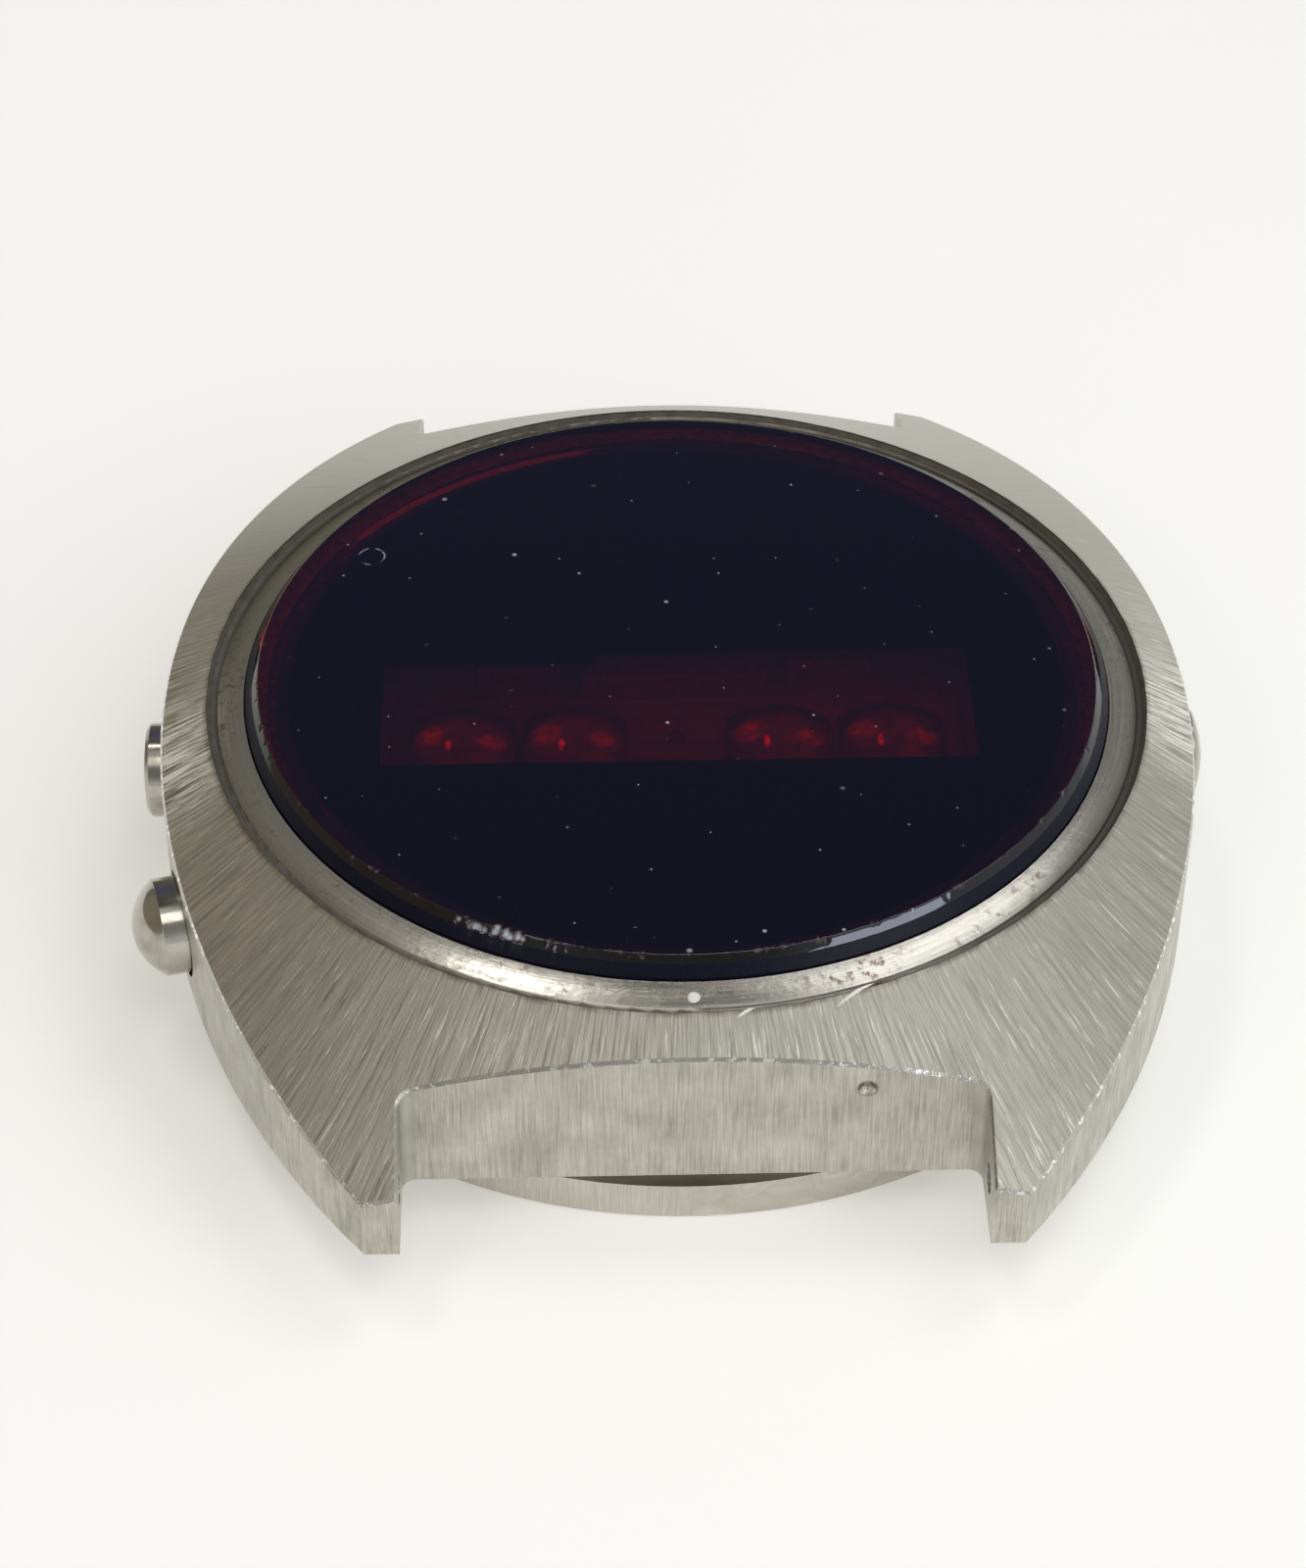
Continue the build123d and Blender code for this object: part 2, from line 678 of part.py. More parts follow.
# Each pusher: cap and stem in one, and its bush, seal, return spring and retaining clip
for pusher in pushers:
    with BuildPart() as cap:
        with BuildSketch(pusher.profile):
            with BuildLine():
                dome = TangentArc(
                    (0, pusher.rim + pusher.crown), (cap_r - pusher.edge, pusher.rim), tangent=(1, 0)
                )
                Polyline(
                    dome @ 1, (cap_r, pusher.rim - pusher.edge), (cap_r, -pusher.seat),
                    (stem_r, -pusher.seat), (stem_r, -pusher.clip_start),
                    (stem_r - clip_groove_depth, -pusher.clip_start),
                    (stem_r - clip_groove_depth, -pusher.groove_end),
                    (stem_r, -pusher.groove_end), (stem_r, -pusher.tip), (0, -pusher.tip), dome @ 0,
                )
            make_face()
        revolve(axis=pusher.axis)
    save(cap, pusher.name)

    with BuildPart() as bush:
        with BuildSketch(pusher.profile):
            with BuildLine():
                Polyline(
                    (seal_pocket_r, -pusher.floor), (bush_r, -pusher.floor), (bush_r, -pusher.bush_end),
                    (stem_r + stem_clearance, -pusher.bush_end),
                    (stem_r + stem_clearance, -pusher.floor - seal_pocket_depth),
                    (seal_pocket_r, -pusher.floor - seal_pocket_depth), close=True,
                )
            make_face()
        revolve(axis=pusher.axis)
    save(bush, f"{pusher.name}_bush")

    with BuildPart() as seal:
        with BuildSketch(pusher.profile):
            with Locations((stem_r + seal_slack + seal_wire_r, -pusher.floor - seal_pocket_depth / 2)):
                Circle(seal_wire_r)
        revolve(axis=pusher.axis)
    save(seal, f"{pusher.name}_seal")

    with BuildPart() as spring:
        with BuildSketch(pusher.face.offset(-pusher.floor)):
            Circle(spring_outer_r)
            Circle(spring_inner_r, mode=Mode.SUBTRACT)
        extrude(amount=pusher.spring_room)
    save(spring, f"{pusher.name}_spring")

    with BuildPart() as clip:
        with BuildSketch(pusher.face.offset(-pusher.clip_start - clip_slack - clip_thickness)):
            Circle(clip_r)
            Circle(stem_r - clip_groove_depth + clip_slack, mode=Mode.SUBTRACT)
            Rectangle(clip_r + overrun, 2 * (stem_r - clip_groove_depth), align=(Align.MAX, Align.CENTER),
                      mode=Mode.SUBTRACT)
        extrude(amount=clip_thickness)
    save(clip, f"{pusher.name}_clip")
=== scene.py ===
"""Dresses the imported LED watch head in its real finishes, and sets its table, light and camera."""

import json
import logging
import math
import random
from dataclasses import dataclass
from enum import Enum

import bmesh
import bpy
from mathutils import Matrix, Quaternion, Vector


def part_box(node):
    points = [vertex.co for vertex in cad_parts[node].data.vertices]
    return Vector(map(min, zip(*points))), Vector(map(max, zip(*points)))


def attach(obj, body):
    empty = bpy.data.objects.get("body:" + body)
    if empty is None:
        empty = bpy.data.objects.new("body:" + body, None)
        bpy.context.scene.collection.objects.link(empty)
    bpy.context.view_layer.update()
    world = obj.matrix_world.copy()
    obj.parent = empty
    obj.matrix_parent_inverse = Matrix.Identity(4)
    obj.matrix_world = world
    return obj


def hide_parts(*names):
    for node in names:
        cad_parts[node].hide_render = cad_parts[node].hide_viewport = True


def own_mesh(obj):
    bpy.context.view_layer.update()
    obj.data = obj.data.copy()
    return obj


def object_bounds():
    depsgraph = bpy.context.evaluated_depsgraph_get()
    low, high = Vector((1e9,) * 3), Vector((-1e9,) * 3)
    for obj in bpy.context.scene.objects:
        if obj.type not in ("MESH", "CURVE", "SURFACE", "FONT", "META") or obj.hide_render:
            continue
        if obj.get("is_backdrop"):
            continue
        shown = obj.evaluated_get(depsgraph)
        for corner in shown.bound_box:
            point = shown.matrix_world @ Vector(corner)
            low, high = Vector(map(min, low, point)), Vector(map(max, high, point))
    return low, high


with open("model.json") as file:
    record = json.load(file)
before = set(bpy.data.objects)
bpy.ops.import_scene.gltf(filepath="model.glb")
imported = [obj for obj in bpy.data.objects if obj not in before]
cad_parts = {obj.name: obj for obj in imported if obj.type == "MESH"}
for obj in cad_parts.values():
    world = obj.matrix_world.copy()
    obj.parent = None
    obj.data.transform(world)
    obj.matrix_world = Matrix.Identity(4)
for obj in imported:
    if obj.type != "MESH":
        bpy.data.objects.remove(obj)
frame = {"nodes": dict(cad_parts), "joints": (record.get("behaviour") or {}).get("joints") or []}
cad_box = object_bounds()

MM = 0.001
SMOOTH_ANGLE = math.radians(35)
Pair = tuple[float, float]
Point = tuple[float, float, float]
Colour = tuple[float, float, float, float]
Mesh = bpy.types.Mesh
Material = bpy.types.Material
Socket = bpy.types.NodeSocket
Feed = Socket | float | str | tuple | Vector
log = logging.getLogger("watch")


def metres(*sizes_mm: float) -> list[float]:
    """Turns millimetres into metres."""
    return [size * MM for size in sizes_mm]


def linear(code: str) -> Colour:
    """Turns an sRGB hex colour into the linear one that a shader wants.

    Args:
        code: The colour, such as "#c4c0b7".

    Returns:
        Linear red, green and blue, and an alpha of one.
    """
    shares = [int(code[at:at + 2], 16) / 255 for at in (1, 3, 5)]
    red, green, blue = (s / 12.92 if s <= 0.04045 else ((s + 0.055) / 1.055) ** 2.4 for s in shares)
    return red, green, blue, 1.0


class Grain(Enum):
    """Which way a tool or brush went over a surface."""

    RADIAL = "out from the watch's axis"
    ROUND = "round the watch's axis"
    UPRIGHT = "up and down a wall"
    FLAT = "along X"


class Nodes:
    """A node tree under construction."""

    def __init__(self, tree: bpy.types.NodeTree) -> None:
        """Takes the tree that the nodes go into."""
        self.tree = tree

    def feed(self, socket: Socket, value: Feed) -> None:
        """Links an input from an output, or sets it to a value.

        Args:
            socket: The input.
            value: The output or the value, where text is an sRGB hex colour.
        """
        if isinstance(value, Socket):
            self.tree.links.new(value, socket)
        else:
            socket.default_value = linear(value) if isinstance(value, str) else value

    def add(self, kind: str, *values: Feed, output: str | None = None,
            named: dict[str, Feed] | None = None, **settings: str) -> Socket:
        """Adds a node with its settings, and sets or links its inputs.

        Args:
            kind: The node's type, without the words that all of them start with, and after a space
                the sum that it works out or the kind of data that it mixes.
            *values: What its inputs are set to or linked from, in their own order.
            output: The output wanted, or None for the first.
            named: What inputs are set to or linked from, by name.
            **settings: The node's other properties.

        Returns:
            The output.
        """
        kind, _, mode = kind.partition(" ")
        node = self.tree.nodes.new("ShaderNode" + kind)
        if mode:
            settings["data_type" if kind == "Mix" else "operation"] = mode
        for name, value in settings.items():
            setattr(node, name, value)
        for socket, value in zip([s for s in node.inputs if s.enabled], values):
            self.feed(socket, value)
        for name, value in (named or {}).items():
            self.feed(node.inputs[name], value)
        return node.outputs[output] if output else next(s for s in node.outputs if s.enabled)


class Shader(Nodes):
    """A material under construction, with its one principled surface."""

    def __init__(self, name: str) -> None:
        """Starts an empty material.

        Args:
            name: The material's name.
        """
        self.material = bpy.data.materials.new(name)
        self.material.use_nodes = True
        super().__init__(self.material.node_tree)
        self.surface = self.tree.nodes["Principled BSDF"]
        self.place = self.add("TexCoord", output="Object")

    def set(self, **values: Feed) -> None:
        """Sets or links the surface's inputs.

        Args:
            **values: The values or outputs, by the input's name with low lines for spaces.
        """
        for name, value in values.items():
            title = "IOR" if name == "ior" else name.replace("_", " ").title()
            self.feed(self.surface.inputs[title], value)

    def reach(self) -> Socket:
        """Gives the distance from the watch's upright axis, in metres."""
        flat = self.add("VectorMath MULTIPLY", self.place, (1.0, 1.0, 0.0))
        return self.add("VectorMath LENGTH", flat, output="Value")

    def near(self, point_mm: Point, inner_mm: float, outer_mm: float) -> Socket:
        """Marks the ball round a point of the watch.

        Args:
            point_mm: The point.
            inner_mm: How far from it the mark is still full.
            outer_mm: How far from it the mark ends.

        Returns:
            1 close to the point and 0 away from it.
        """
        gap = self.add("VectorMath DISTANCE", self.place, Vector(point_mm) * MM, output="Value")
        return self.add("MapRange", gap, *metres(outer_mm, inner_mm))

    def blots(self, size_mm: float, *band: float, detail: float = 3.0, rough: float = 0.55) -> Socket:
        """Lays cloudy blots over everything.

        Args:
            size_mm: How wide a blot is.
            *band: The noise's low and high ends and what they become, or nothing for plain noise.
            detail: How many layers of finer noise it has.
            rough: How strong these are.

        Returns:
            The blots.
        """
        raw = self.add("TexNoise", self.place, 1 / (size_mm * MM), detail, rough)
        return self.add("MapRange", raw, *band) if band else raw

    def lines(self, grain: Grain, spacing_mm: float, length_mm: float, skew: float = 0.0) -> Socket:
        """Draws noise out into brush lines.

        Args:
            grain: The way the lines run.
            spacing_mm: The distance from line to line.
            length_mm: How long a line is.
            skew: How far a line leans over, as a slope.

        Returns:
            The lines, from 0 to 1.
        """
        x, y, z = self.add("SeparateXYZ", self.place).node.outputs
        # A turn round the axis is measured as an arc 20 mm out, near the case's edge
        turn = self.add("Math MULTIPLY", self.add("Math ARCTAN2", y, x), 20 * MM)
        if grain is Grain.RADIAL:
            across, along = turn, self.reach()
        elif grain is Grain.ROUND:
            across, along = self.add("Math ADD", self.reach(), z), turn
        elif grain is Grain.FLAT:
            across, along = y, x
        else:
            facing = self.add("SeparateXYZ", self.add("TexCoord", output="Normal")).node.outputs
            side_x, side_y = (self.add("Math ABSOLUTE", facing[way]) for way in "XY")
            across = self.add("Math ADD", self.add("Math MULTIPLY", x, side_y),
                              self.add("Math MULTIPLY", y, side_x))
            along = z
        across = self.add("Math MULTIPLY_ADD", along, skew, across)
        across, along = (self.add("Math DIVIDE", way, size * MM)
                         for way, size in ((across, spacing_mm), (along, length_mm)))
        raw = self.add("TexNoise", self.add("CombineXYZ", across, along), 1.0, 4.0, 0.7)
        # The noise hardly leaves this band, which is drawn out to the whole range
        return self.add("MapRange", raw, 0.34, 0.66)

    def relief(self, *layers: tuple[Socket, float]) -> Socket:
        """Stacks heights into one surface normal.

        Args:
            *layers: Each height, from 0 to 1, with its depth in millimetres, the lowest first.

        Returns:
            The normal.
        """
        under: dict[str, Feed] = {}
        for height, depth_mm in layers:
            under = {"Normal": self.add("Bump", named={
                "Height": height, "Distance": depth_mm * MM, "Strength": 1.0, **under})}
        return under["Normal"]


@dataclass(frozen=True)
class CoarseBrushedSteel:
    """Stainless steel scratched by a coarse belt: warm grey streaks, with painted highlights on single
    scratches where they would catch the light.

    A belt's scratches are about 0.05 mm apart, too fine to show, so they are drawn coarser.
    """

    name: str = "stainless_steel_coarse_brushed"
    # Near-white colour of the painted highlights on single scratches
    streak: str = "#dad6cb"
    valley: str = "#7c786e"
    painted_glint_colour: str = "#f6f3ea"
    wall_pale: str = "#cfccc2"
    wall_dark: str = "#97948a"
    edge: str = "#c6c3ba"
    nick: str = "#ffffff"
    # Dark brown for dirt, and for painted shade next to the groove
    grime_and_shade: str = "#4d443a"
    spacing_mm: float = 0.14
    length_mm: float = 4.5
    wall_spacing_mm: float = 0.07
    wall_length_mm: float = 2.2
    depth_mm: float = 0.006
    roughness: float = 0.36
    edge_roughness: float = 0.22
    anisotropy: float = 0.65
    # Painted contrast: streaks drawn stronger towards 3 o'clock and faint past 6 o'clock, and the
    # painted highlights fading out towards 6 o'clock
    painted_contrast_x_mm: Pair = (-12.0, 6.0)
    painted_contrast_y_mm: Pair = (-8.0, -2.0)
    painted_glint_y_mm: Pair = (-13.0, -3.0)
    grime_and_shade_reach_mm: Pair = (17.63, 17.45)
    # The punch mark's place, and where the ring of dirt round it starts, is full, fades and ends
    punch_mm: Point = (-5.9, 18.9, 6.82)
    punch_ring_mm: tuple[float, float, float, float] = (0.12, 0.2, 0.32, 0.42)
    # Two patches, at 3 and 9 o'clock, where many scratches are painted as near-white highlights and the
    # streaks are drawn stronger
    painted_highlight_spots_mm: tuple[Point, Point] = ((18.1, 3.1, 7.4), (-18.5, 1.4, 7.4))
    painted_highlight_size_mm: Pair = (1.8, 4.2)

    def streaks(self, s: Shader, painted_highlight_patch: Socket) -> Socket:
        """Draws the cone's streaks with painted contrast: stronger towards 3 o'clock and faint past 6
        o'clock.

        Args:
            s: The material that it goes into.
            painted_highlight_patch: How strongly the painted highlight patches lie on the cone.

        Returns:
            The streaks, from valley to crest.
        """
        x, y, _ = s.add("SeparateXYZ", s.place).node.outputs
        coarse = s.lines(Grain.RADIAL, self.spacing_mm, self.length_mm, 0.02)
        fine = s.lines(Grain.RADIAL, 0.5 * self.spacing_mm, 0.4 * self.length_mm, -0.04)
        both = s.add("Math MULTIPLY_ADD", coarse, 0.55, s.add("Math MULTIPLY", fine, 0.45))
        # Painted contrast by side, and faint towards 6 o'clock
        painted_contrast = s.add("Math MULTIPLY", s.add("MapRange", x, *metres(*self.painted_contrast_x_mm), 0.65, 1.15),
                      s.add("MapRange", y, *metres(*self.painted_contrast_y_mm), 0.15, 1.0))
        # The painted highlight patches also draw the streaks stronger
        painted_contrast = s.add("Math MULTIPLY_ADD", painted_highlight_patch, 0.7, painted_contrast)
        return s.add("Math MULTIPLY_ADD", s.add("Math SUBTRACT", both, 0.5), painted_contrast, 0.5)

    def painted_glints(self, s: Shader, painted_highlight_patch: Socket) -> tuple[Socket, Socket]:
        """Paints the deep scores as near-white highlights, few on most of the cone and many in the
        painted highlight patches, fading out towards 6 o'clock.

        Args:
            s: The material that it goes into.
            painted_highlight_patch: How strongly the painted highlight patches lie on the cone.

        Returns:
            The painted highlights, and the share of them that lies in the painted highlight patches.
        """
        y = s.add("SeparateXYZ", s.place, output="Y")
        scores = s.lines(Grain.RADIAL, 0.9 * self.spacing_mm, 0.5 * self.length_mm, 0.05)
        # Painted highlights: many lines in the highlight patches, and the deepest scores elsewhere,
        # turn near-white
        painted_highlight_lines = s.add("Math MULTIPLY", painted_highlight_patch, s.add("MapRange", scores, 0.4, 0.65))
        deep = s.add("Math MULTIPLY", s.add("MapRange", scores, 0.78, 1.0), 0.7)
        painted_glint = s.add("Math MULTIPLY", s.add("Math MAXIMUM", deep, painted_highlight_lines),
                      s.add("MapRange", y, *metres(*self.painted_glint_y_mm)))
        return painted_glint, painted_highlight_lines

    def wall(self, s: Shader) -> Socket:
        """Draws the upright grain of the walls, with soft clouds in it.

        Args:
            s: The material that it goes into.

        Returns:
            The grain.
        """
        upright = s.lines(Grain.UPRIGHT, self.wall_spacing_mm, self.wall_length_mm)
        cloud = s.add("Math MULTIPLY", s.blots(1.6, 0.3, 0.7, detail=4.0), 0.4)
        return s.add("Math MULTIPLY_ADD", upright, 0.6, cloud)

    def dirty(self, s: Shader, colour: Socket) -> Socket:
        """Darkens the cone's inner edge next to the groove with dirt and painted shade, and dirties the
        ring round the punch mark.

        Args:
            s: The material that it goes into.
            colour: The clean steel's colour.

        Returns:
            The colour with its dirt and painted shade.
        """
        # Dirt and painted shade darken the inner edge next to the groove
        inner = s.add("MapRange", s.reach(), *metres(*self.grime_and_shade_reach_mm))
        groove = s.add("Math MULTIPLY", inner, s.blots(0.8, 0.3, 0.6))
        start, full, fading, end = self.punch_ring_mm
        ring = s.add("Math SUBTRACT", s.near(self.punch_mm, fading, end),
                     s.near(self.punch_mm, start, full))
        for dirt, share in ((groove, 0.7), (ring, 0.6)):
            colour = s.add("Mix RGBA", s.add("Math MULTIPLY", dirt, share), colour, self.grime_and_shade)
        return colour

    def material(self) -> Material:
        """Builds the material: radial streaks with painted highlights on the cone, upright grain on
        every wall.

        Returns:
            The material.
        """
        s = Shader(self.name)
        facing = s.add("SeparateXYZ", s.add("TexCoord", output="Normal"), output="Z")
        top = s.add("MapRange", facing, 0.6, 0.8)
        edge = s.add("Math MULTIPLY", s.add("MapRange", facing, 0.15, 0.3),
                     s.add("MapRange", facing, 0.75, 0.6))
        # Where the painted highlight patches lie
        painted_highlight_patch = s.add("Math MAXIMUM", *(s.near(place, *self.painted_highlight_size_mm) for place in self.painted_highlight_spots_mm))
        shade, wall = self.streaks(s, painted_highlight_patch), self.wall(s)
        painted_glint, painted_highlight_lines = self.painted_glints(s, painted_highlight_patch)
        cone = s.add("Mix RGBA", shade, self.valley, self.streak)
        # Painted highlights: the picked scratches are coloured near-white
        cone = s.add("Mix RGBA", painted_glint, cone, self.painted_glint_colour)
        sides = s.add("Mix RGBA", wall, self.wall_dark, self.wall_pale)
        colour = self.dirty(s, s.add("Mix RGBA", top, sides, cone))
        nicks = s.add("Mix RGBA", s.blots(0.25, 0.55, 0.62), self.edge, self.nick)
        field = s.add("Mix FLOAT", top, wall, shade)
        rough = s.add("MapRange", field, 0, 1, self.roughness + 0.08, self.roughness - 0.12)
        s.set(base_color=s.add("Mix RGBA", edge, colour, nicks),
              # The painted highlight lines are made partly non-metallic, so they stay near-white under
              # any lamp
              metallic=s.add("Math MULTIPLY_ADD", s.add("Math MULTIPLY", painted_highlight_lines, top), -0.6, 1.0),
              anisotropic=self.anisotropy,
              roughness=s.add("Mix FLOAT", edge, rough, self.edge_roughness),
              tangent=s.add("Tangent", direction_type="RADIAL", axis="Z"),
              normal=s.relief((field, self.depth_mm)))
        return s.material


@dataclass(frozen=True)
class FineBrushedSteel:
    """Stainless steel with fine short grain: even and soft, a little darker in its lines.

    The real grain is finer than the picture shows, so its lines are drawn 0.1 mm apart.
    """

    name: str = "stainless_steel_fine_brushed"
    light: str = "#d6d3c8"
    dark: str = "#b0aca1"
    roughness: float = 0.38
    anisotropy: float = 0.4
    spacing_mm: float = 0.1
    length_mm: float = 2.4
    depth_mm: float = 0.004

    def material(self) -> Material:
        """Builds the material.

        Returns:
            The material.
        """
        s = Shader(self.name)
        grain = s.lines(Grain.UPRIGHT, self.spacing_mm, self.length_mm)
        shade = s.add("Math MULTIPLY_ADD", s.blots(2.5, 0.3, 0.7), 0.3,
                      s.add("Math MULTIPLY", grain, 0.7))
        s.set(base_color=s.add("Mix RGBA", shade, self.dark, self.light),
              metallic=1.0, anisotropic=self.anisotropy,
              roughness=s.add("MapRange", grain, 0, 1, self.roughness, self.roughness - 0.1),
              tangent=s.add("Tangent", direction_type="RADIAL", axis="Z"),
              normal=s.relief((grain, self.depth_mm)))
        return s.material


@dataclass(frozen=True)
class WornPolishedSteel:
    """Stainless steel turned and polished, then worn: bright, with faint rings and brown stains."""

    name: str = "stainless_steel_polished_worn"
    light: str = "#ccc8bf"
    stain: str = "#8c7463"
    # Dark brown for dirt, and for painted shade at the outer edge next to the groove
    grime_and_shade: str = "#5a5247"
    # Colour of the painted shade over the outer half at the sides
    painted_side_shade: str = "#4f4d48"
    nick: str = "#f4f1ee"
    roughness: float = 0.2
    ring_spacing_mm: float = 0.06
    ring_length_mm: float = 9.0
    grime_and_shade_reach_mm: Pair = (17.01, 17.13)
    # Where the painted side shade lies: out from the axis, and along X
    painted_side_shade_reach_mm: Pair = (16.35, 17.05)
    painted_side_shade_x_mm: Pair = (6.0, 13.0)
    # Each painted side shade's way along X and its share: 9 o'clock, then 3 o'clock
    painted_side_shade_sides: tuple[tuple[int, float], ...] = ((-1, 0.85), (1, 0.5))
    nick_place_mm: Point = (-0.06, 16.67, 9.2)
    nick_size_mm: Pair = (0.2, 0.27)

    def painted_side_shade_share(self, s: Shader) -> Socket:
        """Says how much painted shade darkens the outer half: only at the sides, and most at 9 o'clock.

        Args:
            s: The material that it goes into.

        Returns:
            The share of painted shade.
        """
        x = s.add("SeparateXYZ", s.place, output="X")
        start, full = metres(*self.painted_side_shade_x_mm)
        sides = s.add("Math MAXIMUM", *(s.add("MapRange", x, way * start, way * full, 0.0, share)
                                        for way, share in self.painted_side_shade_sides))
        return s.add("Math MULTIPLY", sides, s.add("MapRange", s.reach(), *metres(*self.painted_side_shade_reach_mm)))

    def material(self) -> Material:
        """Builds the material: stains in patches, dirt and painted shade at the outer edge, painted
        shade over the outer half at the sides, and one bright nick.

        Returns:
            The material.
        """
        s = Shader(self.name)
        rings = s.lines(Grain.ROUND, self.ring_spacing_mm, self.ring_length_mm)
        stained = s.add("Math MULTIPLY", s.blots(0.35, 0.52, 0.66, detail=5.0, rough=0.7),
                        s.blots(2.5, 0.42, 0.62))
        # Dirt and painted shade darken and dull the outer edge next to the groove
        dirt = s.add("Math MULTIPLY", s.add("MapRange", s.reach(), *metres(*self.grime_and_shade_reach_mm)),
                     s.blots(1.1, 0.35, 0.65, 0.65, 0.95))
        nick = s.near(self.nick_place_mm, *self.nick_size_mm)
        colour = self.light
        # The painted side shade is laid on after the stains and the dirt
        for share, over in ((stained, self.stain), (dirt, self.grime_and_shade),
                            (self.painted_side_shade_share(s), self.painted_side_shade), (nick, self.nick)):
            colour = s.add("Mix RGBA", share, colour, over)
        matt = s.add("Math MAXIMUM", nick, s.add("Math MULTIPLY", dirt, 0.85))
        rough = s.add("MapRange", rings, 0, 1, self.roughness - 0.04, self.roughness + 0.08)
        for share, more in ((stained, 0.25), (s.add("Math MAXIMUM", nick, dirt), 0.4)):
            rough = s.add("Math MULTIPLY_ADD", share, more, rough)
        s.set(base_color=colour, metallic=s.add("Math SUBTRACT", 1.0, matt),
              roughness=rough, normal=s.relief((rings, 0.002), (s.blots(0.7), 0.01), (nick, 0.03)))
        return s.material


@dataclass(frozen=True)
class WorkedMetal:
    """A plated or bare metal with a fine tool mark: its colour, gloss and grain say which.

    The tool marks are finer than the picture shows, so they are drawn 0.08 mm apart.
    """

    name: str
    colour: str
    shade: str
    roughness: float
    grain: Grain = Grain.ROUND
    spacing_mm: float = 0.08
    length_mm: float = 3.0
    depth_mm: float = 0.001

    def material(self) -> Material:
        """Builds the material.

        Returns:
            The material.
        """
        s = Shader(self.name)
        marks = s.lines(self.grain, self.spacing_mm, self.length_mm)
        dull = s.blots(1.2, 0.45, 0.75, detail=4.0)
        rough = s.add("MapRange", marks, 0, 1, self.roughness, self.roughness + 0.06)
        s.set(base_color=s.add("Mix RGBA", dull, self.colour, self.shade),
              metallic=1.0, roughness=s.add("Math MULTIPLY_ADD", dull, 0.12, rough),
              normal=s.relief((marks, self.depth_mm)))
        return s.material


@dataclass(frozen=True)
class RubyGlass:
    """Mineral glass tinted dark red: near black from above, red where something pale lies under it."""

    name: str = "mineral_glass_ruby_tinted"
    tint: str = "#a6121e"
    dust: str = "#d4d8e0"
    sheen: str = "#eef0ff"
    ior: float = 1.6
    top_mm: float = 10.0
    dust_cell_mm: float = 2.9
    # Where a speck ends and is full, in cells, and the range of lots that shrink it
    speck_reach: Pair = (0.034, 0.014)
    speck_lots: Pair = (0.7, 3.4)
    scratch_spacing_mm: float = 0.05
    scratch_length_mm: float = 6.0
    # Each curled fibre's place in X and Y and its radius, and where its line ends and is full
    curls_mm: tuple[Point, ...] = ((11.5, -6.8, 0.5), (12.0, 4.6, 0.24), (1.7, 14.6, 0.5))
    curl_line_mm: Pair = (0.05, 0.015)

    def curl(self, s: Shader, x_mm: float, y_mm: float, radius_mm: float) -> Socket:
        """Draws the thin open ring that a curled fibre has left.

        Args:
            s: The material that it goes into.
            x_mm: Where its middle lies along X.
            y_mm: Where its middle lies along Y.
            radius_mm: Its radius.

        Returns:
            The ring, faded out in places.
        """
        middle = Vector((x_mm, y_mm, self.top_mm)) * MM
        gap = s.add("VectorMath DISTANCE", s.place, middle, output="Value")
        off = s.add("Math ABSOLUTE", s.add("Math SUBTRACT", gap, radius_mm * MM))
        ring = s.add("MapRange", off, *metres(*self.curl_line_mm))
        return s.add("Math MULTIPLY", ring, s.blots(0.8, 0.5, 0.56))

    def specks(self, s: Shader) -> Socket:
        """Scatters specks of dust, one to a cell, most of them tiny or none at all.

        Args:
            s: The material that it goes into.

        Returns:
            The specks.
        """
        cells = s.add("TexVoronoi", s.place, 1 / (self.dust_cell_mm * MM),
                      voronoi_dimensions="2D").node.outputs
        lot = s.add("SeparateXYZ", cells["Color"])
        far = s.add("Math MULTIPLY", cells["Distance"],
                    s.add("MapRange", lot, 0.0, 1.0, *self.speck_lots))
        return s.add("Math MULTIPLY", s.add("MapRange", far, *self.speck_reach),
                     s.blots(2.2, 0.4, 0.62, 0.1, 0.7))

    def material(self) -> Material:
        """Builds the material: clear tinted glass, frosted at its chips, with dust and hairlines.

        Returns:
            The material.
        """
        s = Shader(self.name)
        chip = s.add("Attribute", output="Fac", attribute_name="chip")
        pale = s.add("Math MAXIMUM", self.specks(s), s.add("Math MULTIPLY", chip, chip))
        for curl_mm in self.curls_mm:
            faint = s.add("Math MULTIPLY", self.curl(s, *curl_mm), 0.4)
            pale = s.add("Math MAXIMUM", pale, faint)
        scratch = s.lines(Grain.FLAT, self.scratch_spacing_mm, self.scratch_length_mm, 0.3)
        scratch = s.add("MapRange", scratch, 0.93, 1.0)
        frost = s.add("Math MULTIPLY", chip, 0.25)
        s.set(base_color=s.add("Mix RGBA", s.add("MapRange", pale, 0.0, 0.15), self.tint, self.dust),
              transmission_weight=s.add("Math SUBTRACT", 1.0, pale), ior=self.ior,
              specular_tint=self.sheen,
              roughness=s.add("Math MAXIMUM", frost, s.add("Math MULTIPLY_ADD", scratch, 0.1, 0.02)),
              normal=s.relief((s.blots(6.0, detail=1.0), 0.004)))
        return s.material


